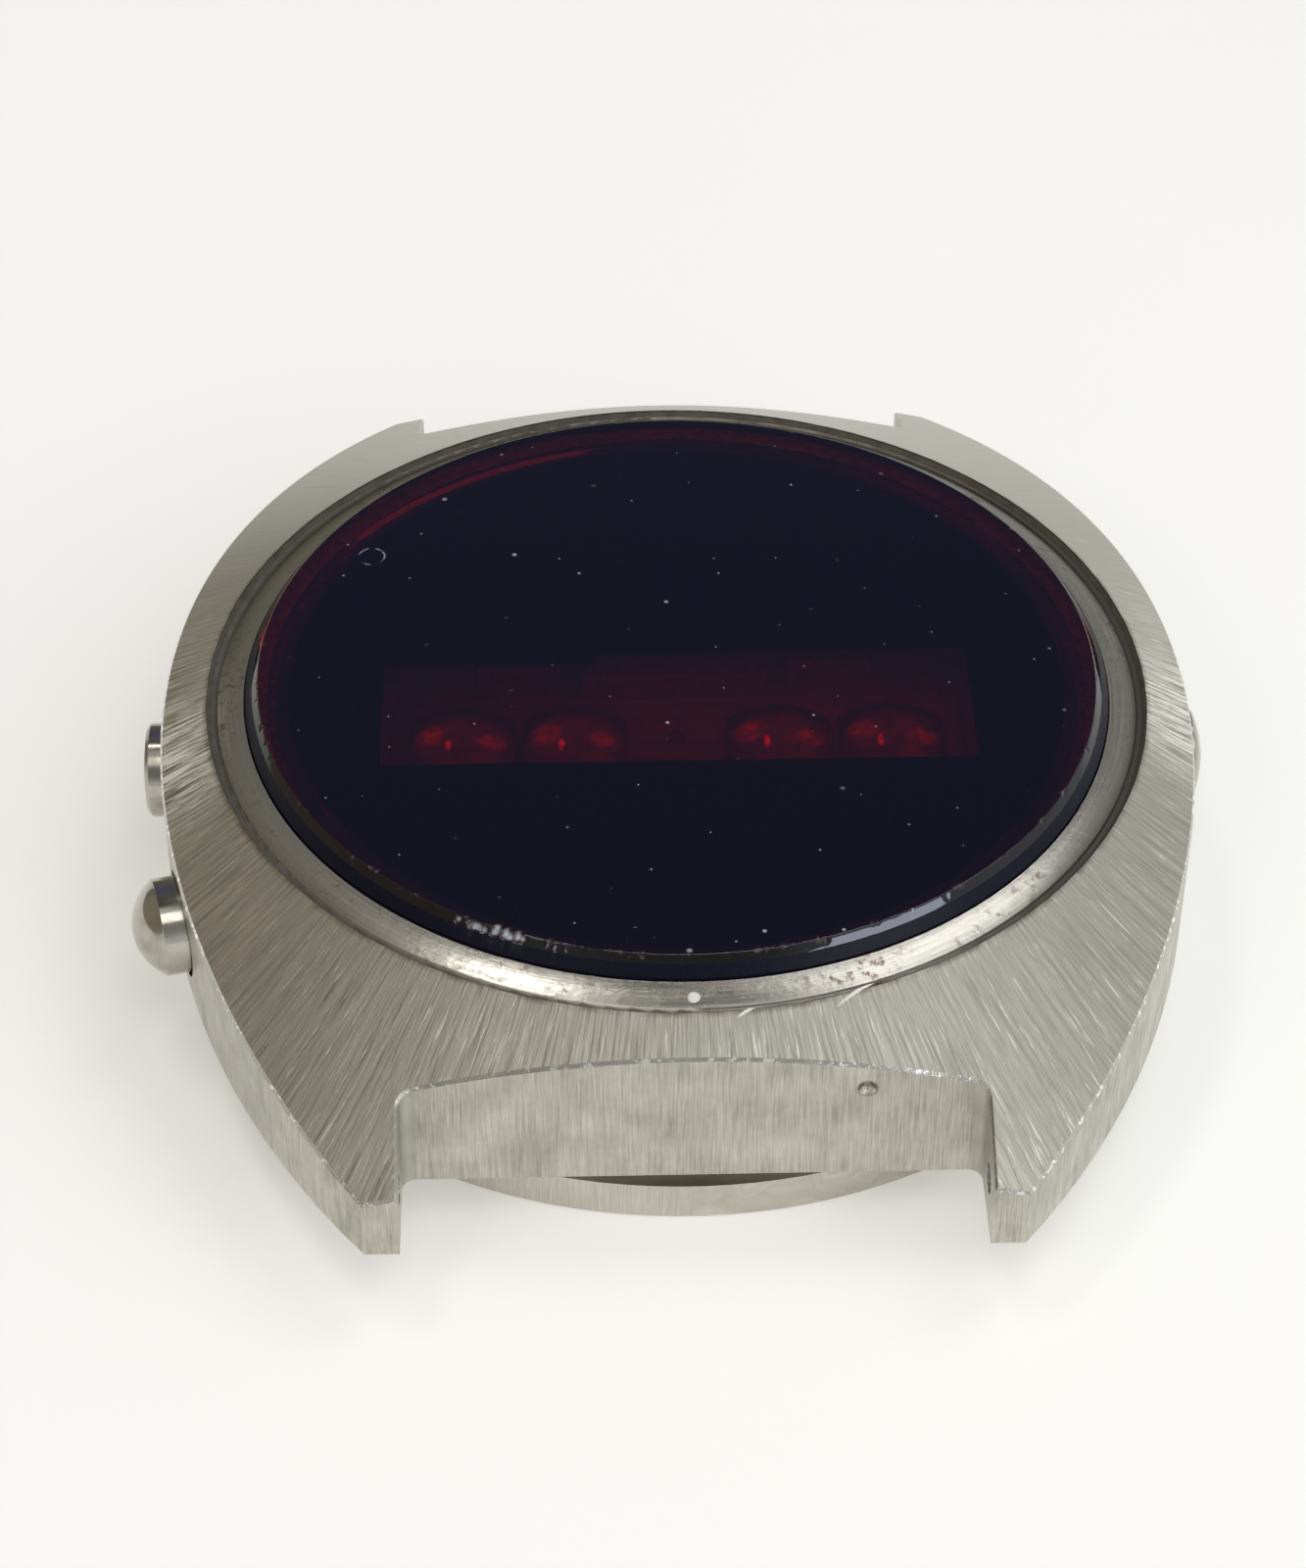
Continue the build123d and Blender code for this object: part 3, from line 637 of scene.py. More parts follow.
@dataclass(frozen=True)
class PlainBody:
    """A moulded, fired, printed or dried surface with no metal in it: colour and gloss say which."""

    name: str
    colour: str
    shade: str
    roughness: float
    blot_mm: float = 0.4
    depth_mm: float = 0.004
    ior: float = 1.5

    def material(self) -> Material:
        """Builds the material.

        Returns:
            The material.
        """
        s = Shader(self.name)
        fine = s.blots(self.blot_mm, 0.3, 0.7, detail=4.0)
        s.set(base_color=s.add("Mix RGBA", fine, self.colour, self.shade),
              roughness=s.add("MapRange", fine, 0, 1, self.roughness, min(1.0, self.roughness + 0.1)),
              ior=self.ior, normal=s.relief((fine, self.depth_mm)))
        return s.material


@dataclass(frozen=True)
class BrownLaminate:
    """Phenolic paper laminate, its tracks under clear lacquer: brown and glossy, with paler ribs."""

    name: str = "phenolic_paper_laminate_lacquered"
    lacquer: str = "#c47c54"
    track: str = "#d6946a"
    track_mm: float = 1.4
    track_depth_mm: float = 0.02
    roughness: float = 0.3
    ior: float = 1.5

    def material(self) -> Material:
        """Builds the material.

        Returns:
            The material.
        """
        s = Shader(self.name)
        cells = s.add("TexVoronoi", s.place, 1 / (self.track_mm * MM), distance="CHEBYCHEV")
        tracks = s.add("MapRange", cells, 0.34, 0.38)
        s.set(base_color=s.add("Mix RGBA", tracks, self.lacquer, self.track),
              roughness=self.roughness, ior=self.ior,
              normal=s.relief((s.blots(0.3), 0.003), (tracks, self.track_depth_mm)))
        return s.material


@dataclass(frozen=True)
class PrintedAlumina:
    """Fired alumina printed with dark metal tracks: a brown that darkens towards one end."""

    name: str = "alumina_printed"
    body: str = "#c98a7b"
    shade: str = "#a86d61"
    ink: str = "#15100f"
    ink_mm: Pair = (-2.0, 9.0)
    roughness: float = 0.4
    ior: float = 1.6

    def material(self) -> Material:
        """Builds the material.

        Returns:
            The material.
        """
        s = Shader(self.name)
        x = s.add("SeparateXYZ", s.place, output="X")
        body = s.add("Mix RGBA", s.blots(1.6, 0.35, 0.65, detail=4.0), self.body, self.shade)
        dim = s.add("MapRange", x, *metres(*self.ink_mm), 0.0, 0.5)
        s.set(base_color=s.add("Mix RGBA", dim, body, self.ink),
              roughness=self.roughness, ior=self.ior, normal=s.relief((s.blots(0.3), 0.004)))
        return s.material


@dataclass(frozen=True)
class RubyEpoxy:
    """Cast epoxy dyed red: a bubble lens over the die, with painted red light on it that stands in for
    reflections.
    """

    name: str = "cast_epoxy_ruby"
    body: str = "#6d1020"
    body_pale: str = "#8a1a2c"
    # Emission colour of the painted red light; the digits are unlit
    painted_glow_colour: str = "#ff1238"
    roughness: float = 0.12
    ior: float = 1.55
    digit_x_mm: tuple[float, ...] = (-8.0, -3.8, 3.8, 8.0)
    digit_y_mm: float = 1.8
    # Each painted spot's place from the digit's middle, its half width and half height, and its
    # strength
    painted_glow_spots_mm: tuple[tuple[float, float, float, float, float], ...] = (
        (0.0, 0.0, 2.0, 1.7, 0.07), (1.05, -0.2, 0.75, 0.8, 0.25), (-1.05, 0.2, 0.7, 0.6, 0.24),
        (0.5, 0.5, 0.14, 0.36, 0.95))

    def spot(self, s: Shader, middle_mm: Pair, half_mm: Pair, power: float) -> Socket:
        """Draws one soft oval of painted red light.

        Args:
            s: The material that it goes into.
            middle_mm: Where it is, in X and Y.
            half_mm: Its half width and half height.
            power: Its strength in the middle.

        Returns:
            The oval.
        """
        ways = s.add("SeparateXYZ", s.place).node.outputs
        square = []
        for way, middle, half in zip(ways, middle_mm, half_mm):
            off = s.add("Math DIVIDE", s.add("Math SUBTRACT", way, middle * MM), half * MM)
            square.append(s.add("Math MULTIPLY", off, off))
        return s.add("MapRange", s.add("Math ADD", *square), 0.0, 1.0, power, 0.0)

    def material(self) -> Material:
        """Builds the material: faint painted red light, two soft painted reflections and one bright
        painted tick over each digit.

        Returns:
            The material.
        """
        s = Shader(self.name)
        painted_glow_share, *spots = (self.spot(s, (x_mm + dx, self.digit_y_mm + dy), (wide, high), power)
                         for x_mm in self.digit_x_mm for dx, dy, wide, high, power in self.painted_glow_spots_mm)
        for spot in spots:
            painted_glow_share = s.add("Math MAXIMUM", painted_glow_share, spot)
        mottle = s.blots(0.35, 0.38, 0.62, 0.3, 1.1, detail=4.0)
        s.set(base_color=s.add("Mix RGBA", s.blots(0.6), self.body, self.body_pale),
              # Emission paints the faint light and the reflections over each digit
              roughness=self.roughness, ior=self.ior, emission_color=self.painted_glow_colour,
              emission_strength=s.add("Math MULTIPLY", painted_glow_share, mottle))
        return s.material


@dataclass(frozen=True)
class TableLacquer:
    """White lacquered board: pale, and faintly glossy."""

    name: str = "lacquered_board_white"
    colour: str = "#fbfaf7"
    cloud: str = "#f8f7f4"
    light: str = "#ffffff"
    lift: float = 0.27
    cloud_mm: float = 60.0
    roughness: float = 0.45
    ior: float = 1.45

    def material(self) -> Material:
        """Builds the material, lifted a little towards white where it is looked at or mirrored.

        Returns:
            The material.
        """
        s = Shader(self.name)
        rays = s.add("LightPath").node.outputs
        seen = s.add("Math ADD", rays["Is Camera Ray"],
                     s.add("Math ADD", rays["Is Glossy Ray"], rays["Is Transmission Ray"]))
        seen = s.add("Math MINIMUM", seen, 1.0)
        cloud = s.blots(self.cloud_mm, 0.3, 0.7)
        s.set(base_color=s.add("Mix RGBA", cloud, self.colour, self.cloud),
              roughness=self.roughness, ior=self.ior, emission_color=self.light,
              emission_strength=s.add("Math MULTIPLY", seen, self.lift))
        return s.material


def dress(material: Material, *nodes: str) -> None:
    """Puts one material on every slot of some CAD nodes.

    Args:
        material: The finish.
        *nodes: The nodes' names.
    """
    for name in nodes:
        mesh = frame["nodes"][name].data
        mesh.materials.clear()
        mesh.materials.append(material)
        log.info("dressed %s in %s", name, material.name)


def new_piece(name: str, mesh: Mesh, material: Material, body: str) -> bpy.types.Object:
    """Makes an object of a mesh, in its material, riding on a body.

    Args:
        name: The piece's name.
        mesh: Its mesh, in the row frame.
        material: Its finish.
        body: The CAD body that it moves with.

    Returns:
        The new piece.
    """
    piece = bpy.data.objects.new(name, mesh)
    bpy.context.scene.collection.objects.link(piece)
    mesh.materials.append(material)
    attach(piece, body)
    log.info("added %s in %s", name, material.name)
    return piece


def turned(reach: float, height: float, turn: float) -> Point:
    """Gives the point, in metres, at a reach and a height in millimetres and a turn round the axis."""
    return reach * math.cos(turn) * MM, reach * math.sin(turn) * MM, height * MM


def ring_faces(segments: int, corners: int, closed: bool = False) -> list[tuple[int, ...]]:
    """Joins a turned outline to itself by quads, from each segment to the next.

    Args:
        segments: How many times the outline stands round the axis.
        corners: How many corners it has.
        closed: Whether its last corner joins its first.

    Returns:
        The faces.
    """
    return [(a * corners + k, b * corners + k, b * corners + n, a * corners + n)
            for a, b in ((at, (at + 1) % segments) for at in range(segments))
            for k, n in ((k, (k + 1) % corners) for k in range(corners - (not closed)))]


@dataclass
class FilterCrystal:
    """The raised red crystal, with the chips along its rim, all measured in millimetres."""

    bevel_drop: float = 0.65
    bevel_width: float = 0.5
    bevel_sag: float = 0.02
    edge_round: float = 0.1
    edge_steps: int = 5
    segments: int = 1440
    rim_land: float = 0.22
    land_steps: int = 4
    foot_bevel: float = 0.05
    seat_width: float = 2.0
    top_inset: float = 0.25
    chips: int = 90
    chip_width: Pair = (0.04, 0.14)
    chip_depth: Pair = (0.004, 0.03)
    chip_spread: float = 0.85
    chip_height: float = 0.8
    cluster_chips: int = 36
    cluster_width: Pair = (0.07, 0.2)
    cluster_depth: Pair = (0.03, 0.07)
    cluster_turn: float = 1.14
    cluster_spread: float = 0.06
    cluster_height: float = 0.5
    height_spread: float = 0.15
    seed: int = 11

    def profile(self, radius: float, low: float, high: float) -> list[Pair]:
        """Draws the outline of its half section, from the underside to the top.

        Args:
            radius: Its outer radius in millimetres.
            low: The height of its underside.
            high: The height of its top.

        Returns:
            The reach and height of each corner.
        """
        outline = [(radius - self.seat_width, low), (radius - self.foot_bevel, low),
                   (radius, low + self.foot_bevel), (radius, high - self.bevel_drop - self.bevel_sag)]
        for step in range(self.land_steps):
            land = self.rim_land * (1 - step / self.land_steps)
            outline.append((radius - self.bevel_width + land,
                            high - self.bevel_drop * land / self.bevel_width))
        slope = math.atan2(self.bevel_drop, self.bevel_width)
        trim = self.edge_round * math.tan(slope / 2)
        for step in range(self.edge_steps + 1):
            turn = slope * (1 - step / self.edge_steps)
            outline.append((radius - self.bevel_width - trim + self.edge_round * math.sin(turn),
                            high - self.edge_round * (1 - math.cos(turn))))
        outline += [(radius - self.bevel_width - self.top_inset, high),
                    (radius - self.seat_width, high)]
        return outline

    def chip_field(self) -> list[tuple[float, float, float, float]]:
        """Draws the chips by seeded lot: a wide scatter towards 12 o'clock and one close cluster.

        Returns:
            Each chip's turn, share of the way up the edge, half width and depth.
        """
        draw = random.Random(self.seed)
        groups = ((self.chips, math.pi / 2, self.chip_spread, self.chip_height,
                   self.chip_width, self.chip_depth),
                  (self.cluster_chips, self.cluster_turn, self.cluster_spread, self.cluster_height,
                   self.cluster_width, self.cluster_depth))
        return [(draw.gauss(middle, spread), draw.gauss(height, self.height_spread),
                 draw.uniform(*width), draw.uniform(*depth))
                for count, middle, spread, height, width, depth in groups for _ in range(count)]

    def bites(self, outline: list[Pair], first_step: int, last_step: int) -> list[list[float]]:
        """Says how deep the chips go at each corner of the turned outline.

        Args:
            outline: The half section.
            first_step: Its last corner that stays whole on the way up.
            last_step: Its last corner that a chip can reach.

        Returns:
            The depth in millimetres, by segment and by corner.
        """
        edge = math.dist(outline[first_step], outline[last_step])
        radius = max(reach for reach, _ in outline)
        depths = [[0.0] * len(outline) for _ in range(self.segments)]
        for place, height, width, depth in self.chip_field():
            reach = width / radius
            first, last = ((place + side * reach) / math.tau * self.segments for side in (-1, 1))
            for at in range(math.ceil(first), math.floor(last) + 1):
                off = (at / self.segments * math.tau - place) / reach
                bitten = depths[at % self.segments]
                for step in range(first_step + 1, last_step + 1):
                    up = (math.dist(outline[first_step], outline[step]) - height * edge) / width
                    bitten[step] = max(bitten[step], depth * (1 - off * off - up * up))
        return depths

    def mesh(self) -> Mesh:
        """Turns the outline round the axis, and bites the chips out of its bevel.

        Returns:
            The mesh, with how deep each point is chipped and its rim in the second material.
        """
        low, high = (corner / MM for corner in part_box("crystal"))
        outline = self.profile(high.x, low.z, high.z)
        count = len(outline)
        # The top's two flat corners come after the last one that a chip can reach
        last_step = count - 3
        first_step = last_step - self.edge_steps - self.land_steps
        points, chip = [], []
        for at, bites in enumerate(self.bites(outline, first_step, last_step)):
            for (reach, height), bite in zip(outline, bites):
                points.append(turned(reach - bite, height - bite, math.tau * at / self.segments))
                chip.append(bite / self.cluster_depth[1])
        faces = ring_faces(self.segments, count)
        faces.append(tuple(at * count for at in reversed(range(self.segments))))
        faces.append(tuple(at * count + count - 1 for at in range(self.segments)))
        mesh = bpy.data.meshes.new("crystal_glass")
        mesh.from_pydata(points, [], faces)
        # The rim runs from the wall's foot, at corner 2, to the first corner of the land
        for face in mesh.polygons[:self.segments * (count - 1)]:
            face.material_index = int(2 <= face.index % (count - 1) < first_step)
        mesh.attributes.new("chip", "FLOAT", "POINT").data.foreach_set("value", chip)
        mesh.shade_smooth()
        mesh.set_sharp_from_angle(angle=SMOOTH_ANGLE)
        return mesh

    def build(self) -> None:
        """Builds the crystal, and dresses the gasket and the mask with it."""
        piece = new_piece("crystal_glass", self.mesh(), RubyGlass().material(),
                          "watch_case")
        # The ground rim gets a near-black, low-shine surface as a painted dark reflection, so that it
        # reads as a dark band
        piece.data.materials.append(PlainBody("mineral_glass_rim_ground_painted_dark_reflection", "#0a0b1c",
                                              "#101124", 0.3, 0.12, ior=1.25).material())
        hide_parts("crystal")
        # Aged nylon gives a brownish ring that shows dark red through the glass
        dress(PlainBody("nylon_aged", "#94806a", "#6b5a48", 0.45).material(), "crystal_gasket")
        # Screened ink is flat black with next to no gloss, and hides the works
        dress(PlainBody("screen_ink_black", "#060609", "#0b0b10", 0.9, 0.15, ior=1.2).material(),
              "dial_mask")


@dataclass
class SteelCase:
    """The case, its back and its bezel, with the dirt and the burrs in the groove between them.

    All its sizes are in millimetres.
    """

    ring_reach: float = 17.33
    case_reach: float = 17.46
    ring_drop: float = 0.35
    case_drop: float = 0.17
    segments: int = 720
    cone_fall: float = 0.53
    burr_steps: int = 12
    burr_lift: float = 0.07
    burr_end: float = 0.06
    # Each burr's reach and turn at its foot, the same at its tip, and half its width
    burrs: tuple[tuple[float, float, float, float, float], ...] = (
        (17.42, 1.694, 17.7, 1.654, 0.055), (17.34, 1.945, 17.82, 1.847, 0.065))

    def groove_dirt(self) -> Mesh:
        """Lays a sunk fillet from the ring's outer rim up to the case's inner edge.

        Returns:
            Its mesh.
        """
        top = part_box("bezel_ring")[1].z / MM
        low = top - 2 * self.ring_drop
        outline = ((self.ring_reach, low), (self.ring_reach, top - self.ring_drop),
                   (self.case_reach, top - self.case_drop), (self.case_reach, low))
        points = [turned(reach, height, math.tau * at / self.segments)
                  for at in range(self.segments) for reach, height in outline]
        mesh = bpy.data.meshes.new("groove_dirt")
        mesh.from_pydata(points, [], ring_faces(self.segments, len(outline), closed=True))
        return mesh

    def burr(self, foot_reach: float, foot_turn: float, tip_reach: float, tip_turn: float,
             half_width: float) -> Mesh:
        """Curls one sliver of torn steel out of the groove and over the cone.

        Args:
            foot_reach: How far from the axis it starts, in millimetres.
            foot_turn: The turn at which it starts, in radians.
            tip_reach: How far from the axis it ends.
            tip_turn: The turn at which it ends.
            half_width: Half its width at its thickest.

        Returns:
            Its mesh, three-sided and pointed at both ends.
        """
        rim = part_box("bezel_ring")[1].z / MM - self.case_drop
        points, steps = [], self.burr_steps
        for step in range(steps + 1):
            share = step / steps
            reach = foot_reach + (tip_reach - foot_reach) * share ** 2
            turn = foot_turn + (tip_turn - foot_turn) * share
            wide = half_width * math.sin(math.pi * (self.burr_end + (1 - 2 * self.burr_end) * share))
            ground = (rim - self.cone_fall * max(0.0, reach - self.case_reach)
                      + 0.5 * self.burr_lift * share)
            for off, height in ((-wide, 0.0), (wide, 0.0), (0.0, self.burr_lift + wide)):
                points.append(turned(reach + off, ground + height, turn))
        faces = [(3 * at + k, 3 * at + (k + 1) % 3, 3 * at + 3 + (k + 1) % 3, 3 * at + 3 + k)
                 for at in range(steps) for k in range(3)]
        mesh = bpy.data.meshes.new("bezel_burr")
        mesh.from_pydata(points, [], faces + [(2, 1, 0), (3 * steps, 3 * steps + 1, 3 * steps + 2)])
        return mesh

    def build(self) -> None:
        """Dresses the three steel parts, dirties the groove and leaves the burrs in it."""
        # Dried skin oil and dust is a dull grey brown
        new_piece("groove_dirt", self.groove_dirt(),
                  PlainBody("dried_dirt", "#625e55", "#4c4840", 0.7, 0.5).material(),
                  "watch_case")
        # Torn steel is fresh, so it is the brightest metal on the watch
        torn = WorkedMetal("stainless_steel_torn", "#ece9e2", "#cfccc4", 0.2).material()
        for number, sizes in enumerate(self.burrs, 1):
            new_piece(f"bezel_burr_{number}", self.burr(*sizes), torn, "watch_case")
        dress(CoarseBrushedSteel().material(), "case_middle")
        dress(FineBrushedSteel().material(), "case_back")
        dress(WornPolishedSteel().material(), "bezel_ring")


@dataclass
class Display:
    """The digits under the window."""

    def build(self) -> None:
        """Dresses the base, the dies and the lenses."""
        dress(PrintedAlumina().material(), "display_base")
        # Sawn crystal is glossy and a dull red
        dress(PlainBody("gallium_arsenide_phosphide", "#a2604f", "#7f473b", 0.1, 0.2).material(),
              "led_dies")
        dress(RubyEpoxy().material(), "digit_lenses")


@dataclass
class Works:
    """Everything inside the case that holds, feeds and drives the display."""

    def build(self) -> None:
        """Dresses each hidden part."""
        # Glass-filled nylon is a dull charcoal with a faint grain
        dress(PlainBody("glass_filled_nylon", "#1b1b1d", "#262628", 0.55).material(), "module_frame")
        dress(BrownLaminate().material(), "circuit_board")
        # Fired alumina packages are a pale brown, which the filter turns to a deep red
        dress(PlainBody("alumina_brown_fired", "#d08c74", "#b4765f", 0.5, 0.3).material(),
              "clock_chip", "driver_chips")
        # Fired alumina is an off-white, slightly glossy body
        dress(PlainBody("alumina_white", "#d9d4c8", "#c8c2b4", 0.35).material(),
              "resistors", "trimmer_body")
        # Polyimide film is an amber brown with a soft gloss
        dress(PlainBody("polyimide_film", "#8a4f18", "#7a4212", 0.25, 2.0, 0.001).material(),
              "insulator")
        # Nitrile rubber is black, matt and a little dusty
        dress(PlainBody("nitrile_rubber", "#121212", "#1d1d1c", 0.7, 0.2).material(), "back_gasket")
        # Bright nickel plate on the cells and the crystal's can shows fine handling marks
        dress(WorkedMetal("nickel_plate", "#cfcbc1", "#aaa59a", 0.22).material(),
              "cell_left", "cell_right", "quartz_can")
        # Stamped stainless strip is a plain light grey with straight rolling marks
        dress(WorkedMetal("stainless_steel_stamped", "#c4c2bc", "#9c9a93", 0.3, Grain.FLAT).material(),
              "cell_strap")
        # Gilt phosphor bronze leaves are a soft yellow with rolling marks
        dress(WorkedMetal("phosphor_bronze_gilt", "#d9b56a", "#b98f48", 0.25, Grain.FLAT).material(),
              "cell_contacts", "switch_leaves")
        # Turned brass is yellow with fine rings
        dress(WorkedMetal("brass_turned", "#cfae66", "#a78646", 0.28).material(), "trimmer_rotor")
        # Turned steel screws are a plain mid grey
        dress(WorkedMetal("steel_turned", "#a9a7a1", "#83817b", 0.32).material(), "strap_screws")


@dataclass
class PusherButton:
    """One pusher: polished cap, brass bush, rubber seal, wire clip and coiled return spring.

    All its sizes are in millimetres.
    """

    node: str
    joint: str
    turns: float
    travel: float
    wire: float = 0.3
    wire_sides: int = 3
    coil_radius: float = 1.22
    points_per_turn: int = 24
    weld: float = 0.0005

    def wound(self, spots: list[Vector]) -> Mesh:
        """Draws the spring's wire through some points.

        Args:
            spots: The points, from one end to the other.

        Returns:
            The wire's mesh.
        """
        curve = bpy.data.curves.new(self.node + "_coil", "CURVE")
        curve.dimensions, curve.use_fill_caps = "3D", True
        curve.bevel_depth, curve.bevel_resolution = self.wire * MM / 2, self.wire_sides
        spline = curve.splines.new("POLY")
        spline.points.add(len(spots) - 1)
        for point, spot in zip(spline.points, spots):
            point.co = (*spot, 1)
        draft = bpy.data.objects.new("coil_draft", curve)
        bpy.context.scene.collection.objects.link(draft)
        bpy.context.view_layer.update()
        mesh = bpy.data.meshes.new_from_object(draft.evaluated_get(
            bpy.context.evaluated_depsgraph_get()))
        bpy.data.objects.remove(draft)
        mesh.materials.clear()
        mesh.shade_smooth()
        return mesh

    def coil(self, material: Material) -> None:
        """Winds the return spring between the bush and the cap.

        Args:
            material: The wire's finish.
        """
        pushed = Vector(next(j["axis"] for j in frame["joints"] if j["name"] == self.joint))
        outward = -pushed.normalized()
        sleeve = [v.co for v in frame["nodes"][self.node + "_spring"].data.vertices]
        depths = [point.dot(outward) for point in sleeve]
        centre = sum(sleeve, Vector()) / len(sleeve)
        foot, top = min(depths) + self.wire * MM / 2, max(depths) - self.wire * MM / 2
        up = Vector((0, 0, 1))
        across = outward.cross(up)
        steps = round(self.turns * self.points_per_turn)
        spots = []
        for at in range(steps + 1):
            share = at / steps
            turn = math.tau * self.turns * share
            depth = foot + (top - foot) * share - centre.dot(outward)
            spots.append(centre + outward * depth + across * math.cos(turn) * self.coil_radius * MM
                         + up * math.sin(turn) * self.coil_radius * MM)
        piece = new_piece(self.node + "_coil", self.wound(spots), material,
                          "watch_case")
        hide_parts(self.node + "_spring")
        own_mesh(piece)

    def cap(self, chrome: Material) -> None:
        """Makes the cap of the CAD one, with its dome shaded as one smooth face right to its middle.

        Args:
            chrome: The cap's finish.
        """
        shape = bmesh.new()
        shape.from_mesh(frame["nodes"][self.node].data)
        bmesh.ops.remove_doubles(shape, verts=shape.verts, dist=self.weld * MM)
        mesh = bpy.data.meshes.new(self.node + "_cap")
        shape.to_mesh(mesh)
        shape.free()
        mesh.materials.clear()
        for name in ("custom_normal", "sharp_edge", "sharp_face"):
            if name in mesh.attributes:
                mesh.attributes.remove(mesh.attributes[name])
        mesh.shade_smooth()
        mesh.set_sharp_from_angle(angle=SMOOTH_ANGLE)
        piece = new_piece(self.node + "_cap", mesh, chrome, self.node.replace("_pusher", "_button"))
        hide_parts(self.node)

    def build(self, chrome: Material, brass: Material, rubber: Material, wire: Material) -> None:
        """Builds the cap and the coil, and dresses the bush, the seal and the clip.

        Args:
            chrome: The cap's finish.
            brass: The bush's finish.
            rubber: The seal's finish.
            wire: The clip's and the spring's finish.
        """
        self.cap(chrome)
        dress(brass, self.node + "_bush")
        dress(rubber, self.node + "_seal")
        dress(wire, self.node + "_clip")
        self.coil(wire)


@dataclass
class Pushers:
    """The three pushers on the flanks."""

    buttons: tuple[PusherButton, ...] = (
        PusherButton("display_pusher", "display_press", turns=3.0, travel=0.8),
        PusherButton("minute_set_pusher", "minute_press", turns=2.0, travel=0.45),
        PusherButton("hour_set_pusher", "hour_press", turns=2.0, travel=0.45))

    def build(self) -> None:
        """Builds the finishes once, and each pusher with them."""
        # Worn chrome plate still mirrors the room, greyer and with a few dull spots
        chrome = WorkedMetal("chrome_plate_worn", "#bab6ad", "#979389", 0.09,
                             depth_mm=0.0004).material()
        # Turned brass bushes are yellow with fine rings
        brass = WorkedMetal("brass_bush", "#c9a860", "#9e7f42", 0.3).material()
        # Nitrile seals are black and matt
        rubber = PlainBody("nitrile_seal", "#131313", "#1e1e1d", 0.6, 0.15).material()
        # Drawn spring wire is a dull mid grey
        wire = WorkedMetal("spring_wire", "#a5a39d", "#7f7d77", 0.3).material()
        for button in self.buttons:
            button.build(chrome, brass, rubber, wire)


@dataclass(frozen=True)
class Softbox:
    """One soft lamp, aimed at the watch from a side, with its width and height in metres."""

    name: str
    toward: Point
    wide: float
    tall: float
    radiance: float
    colour: str
    distance: float = 0.6

    def build(self) -> None:
        """Hangs the lamp."""
        lamp = bpy.data.lights.new(self.name, "AREA")
        lamp.shape, lamp.size, lamp.size_y = "RECTANGLE", self.wide, self.tall
        lamp.energy = self.radiance * math.pi * self.wide * self.tall
        lamp.color = linear(self.colour)[:3]
        holder = bpy.data.objects.new(self.name, lamp)
        place = Vector(self.toward).normalized() * self.distance
        holder.location = place
        holder.rotation_euler = (-place).to_track_quat("-Z", "Y").to_euler()
        holder.visible_camera = False
        bpy.context.scene.collection.objects.link(holder)


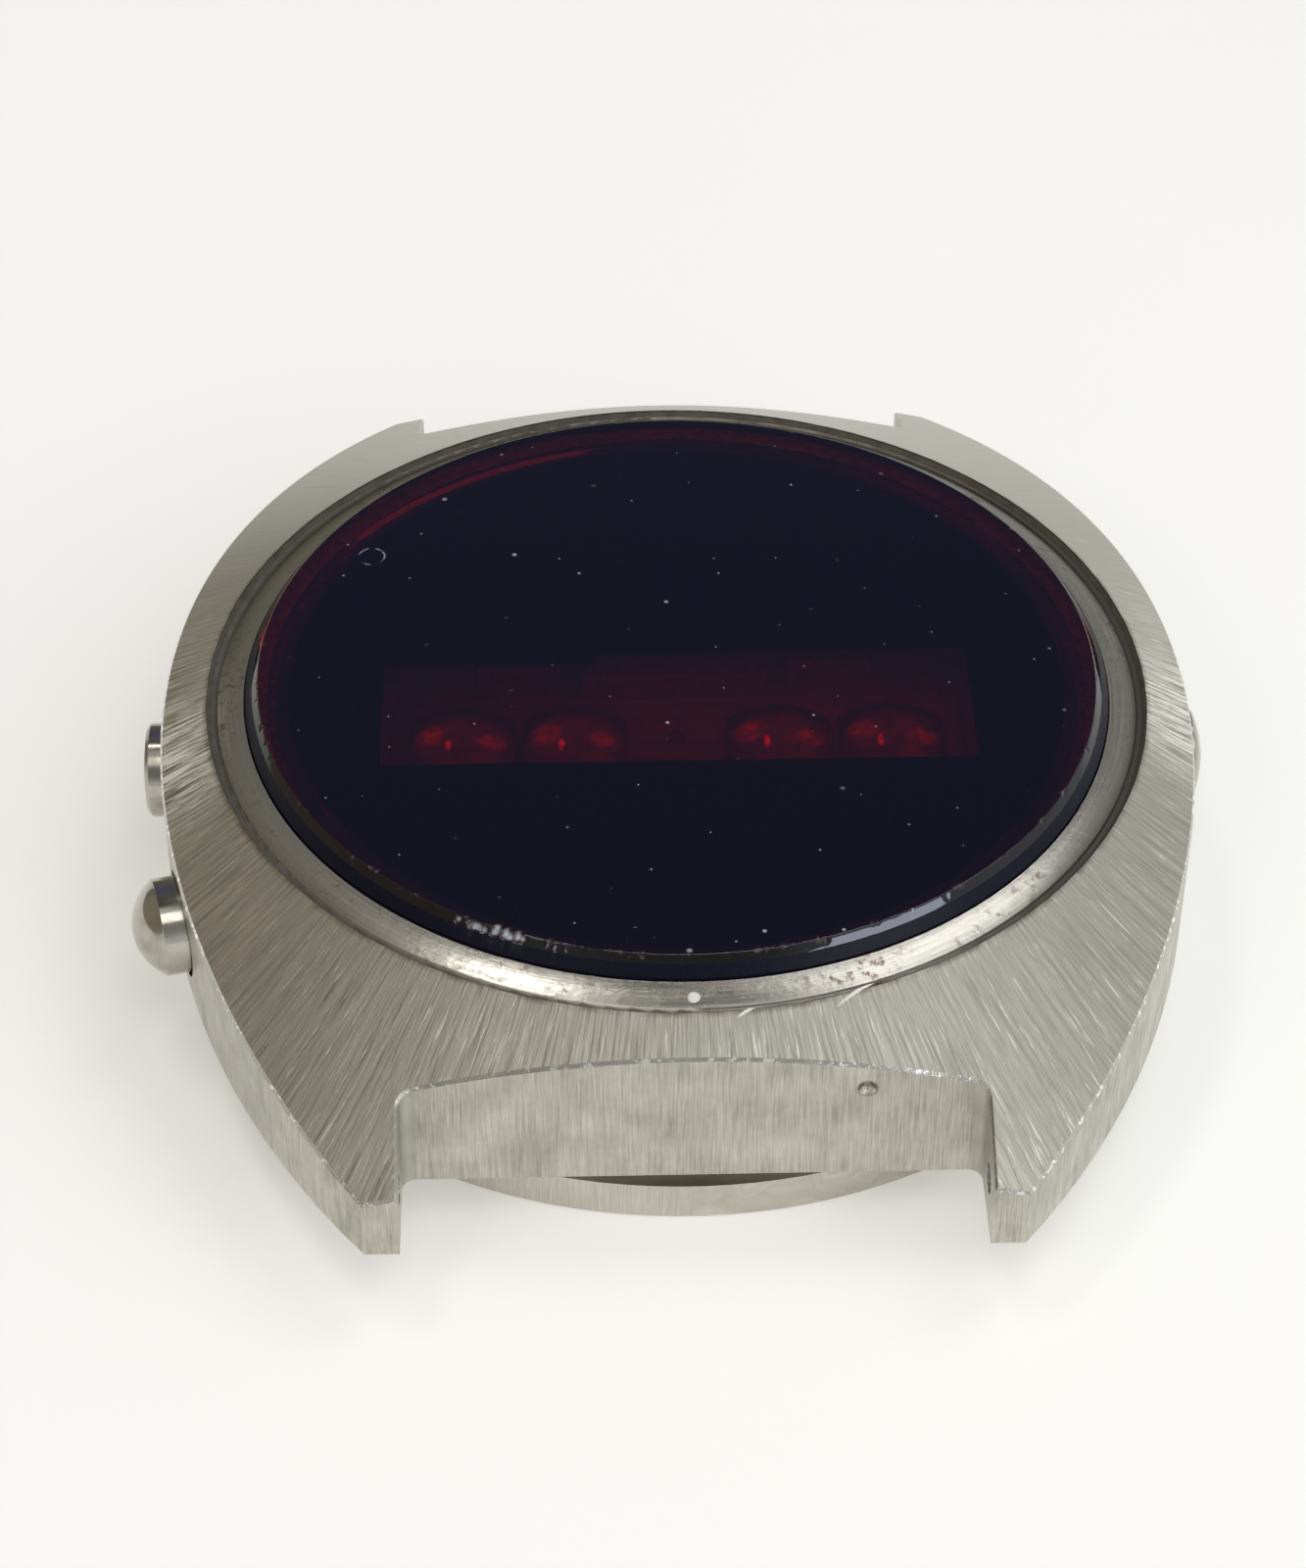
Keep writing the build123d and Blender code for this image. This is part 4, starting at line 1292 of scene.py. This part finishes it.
@dataclass
class Studio:
    """The table, the soft lamps, the room round them, and the camera."""

    floor_reach_mm: float = 4000.0
    floor_hole_mm: float = 18.2
    floor_segments: int = 180
    camera_place: Point = (0.003905, 0.10568, 0.09654)
    camera_aim: Point = (0.000887, 0.00101, 0.005)
    camera_roll: float = 0.19
    camera_lens: float = 84.58
    camera_sensor: float = 36.0
    camera_clip: Pair = (0.005, 20.0)
    pale_room: str = "#d6d8d8"
    # Each dim side's direction, the cosines at which it starts and is full, and its colour
    dim_sides: tuple[tuple[Point, float, float, str], ...] = (
        ((1.0, 0.0, 0.4), 0.3, 0.85, "#938b7c"), ((-0.02, -0.75, 0.66), 0.72, 0.92, "#6e6e6c"),
        ((0.0, 0.8, 0.6), 0.85, 0.97, "#8f8f8c"), ((-0.02, -0.22, 0.98), 0.94, 0.985, "#4a4a48"),
        ((0.45, -0.89, 0.1), 0.8, 0.95, "#6f6d62"), ((-0.03, -0.75, 0.66), 0.95, 0.985, "#5f6284"))
    lamps: tuple[Softbox, ...] = (
        Softbox("softbox_top", (-0.05, 0.47, 0.88), 0.24, 0.22, 2.2, "#fffdf8"),
        Softbox("skylight_right", (-0.353, -0.275, 0.895), 0.2, 0.26, 1.75, "#fdfeff"),
        Softbox("skylight_left", (0.235, -0.155, 0.96), 0.14, 0.075, 6.0, "#fffefa"),
        Softbox("window_right", (-0.5, 0.38, 0.78), 0.32, 0.32, 0.6, "#fbfdff"),
        Softbox("rim_light", (-0.67, 0.61, 0.42), 0.36, 0.08, 5.0, "#f0f6fa"),
        Softbox("window_left", (0.235, 0.26, 0.35), 0.18, 0.18, 2.2, "#fffaf2"),
        Softbox("low_right", (-0.67, -0.72, 0.13), 0.2, 0.12, 1.1, "#fdfdff"),
        Softbox("low_left", (0.64, -0.68, 0.34), 0.14, 0.14, 0.7, "#fff8ea"))

    def floor(self) -> None:
        """Lays the round table top, open under the case back so that the back shows from below."""
        points = [turned(reach, 0.0, math.tau * at / self.floor_segments)
                  for at in range(self.floor_segments)
                  for reach in (self.floor_reach_mm, self.floor_hole_mm)]
        mesh = bpy.data.meshes.new("table_top")
        mesh.from_pydata(points, [], ring_faces(self.floor_segments, 2))
        table = bpy.data.objects.new("table_top", mesh)
        bpy.context.scene.collection.objects.link(table)
        mesh.materials.append(TableLacquer().material())
        table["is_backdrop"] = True

    def room(self) -> None:
        """Sets the room: pale all round, with the dim sides that the polished parts mirror."""
        world = bpy.data.worlds.new("room")
        bpy.context.scene.world = world
        world.use_nodes = True
        nodes = Nodes(world.node_tree)
        coord = nodes.add("TexCoord", output="Generated")
        colour = self.pale_room
        for toward, clear, dim, shade in self.dim_sides:
            facing = nodes.add("VectorMath DOT_PRODUCT", coord, Vector(toward).normalized(),
                               output="Value")
            share = nodes.add("MapRange", facing, clear, dim)
            colour = nodes.add("Mix RGBA", share, colour, shade)
        nodes.feed(world.node_tree.nodes["Background"].inputs["Color"], colour)

    def camera(self) -> None:
        """Stands the camera where the photograph was taken from."""
        lens = bpy.data.cameras.new("camera")
        lens.lens, lens.sensor_width = self.camera_lens, self.camera_sensor
        lens.clip_start, lens.clip_end = self.camera_clip
        holder = bpy.data.objects.new("camera", lens)
        look = Vector(self.camera_aim) - Vector(self.camera_place)
        holder.location = self.camera_place
        roll = Quaternion((0, 0, 1), math.radians(self.camera_roll))
        holder.rotation_mode = "QUATERNION"
        holder.rotation_quaternion = look.to_track_quat("-Z", "Y") @ roll
        bpy.context.scene.collection.objects.link(holder)
        bpy.context.scene.camera = holder

    def build(self) -> None:
        """Sets up the whole studio."""
        self.floor()
        self.room()
        for lamp in self.lamps:
            lamp.build()
        self.camera()
        bpy.context.scene.view_settings.view_transform = "Standard"


def main() -> None:
    """Builds each part of the scene in turn, and gathers the watch's box corners before and after."""
    logging.basicConfig(level=logging.INFO, format="%(message)s")
    for part in (SteelCase(), FilterCrystal(), Display(), Works(), Pushers(), Studio()):
        part.build()
        log.info("built %s", type(part).__name__)
    corners = [list(corner) for corner in (*cad_box, *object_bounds())]


if __name__ == "__main__":
    main()
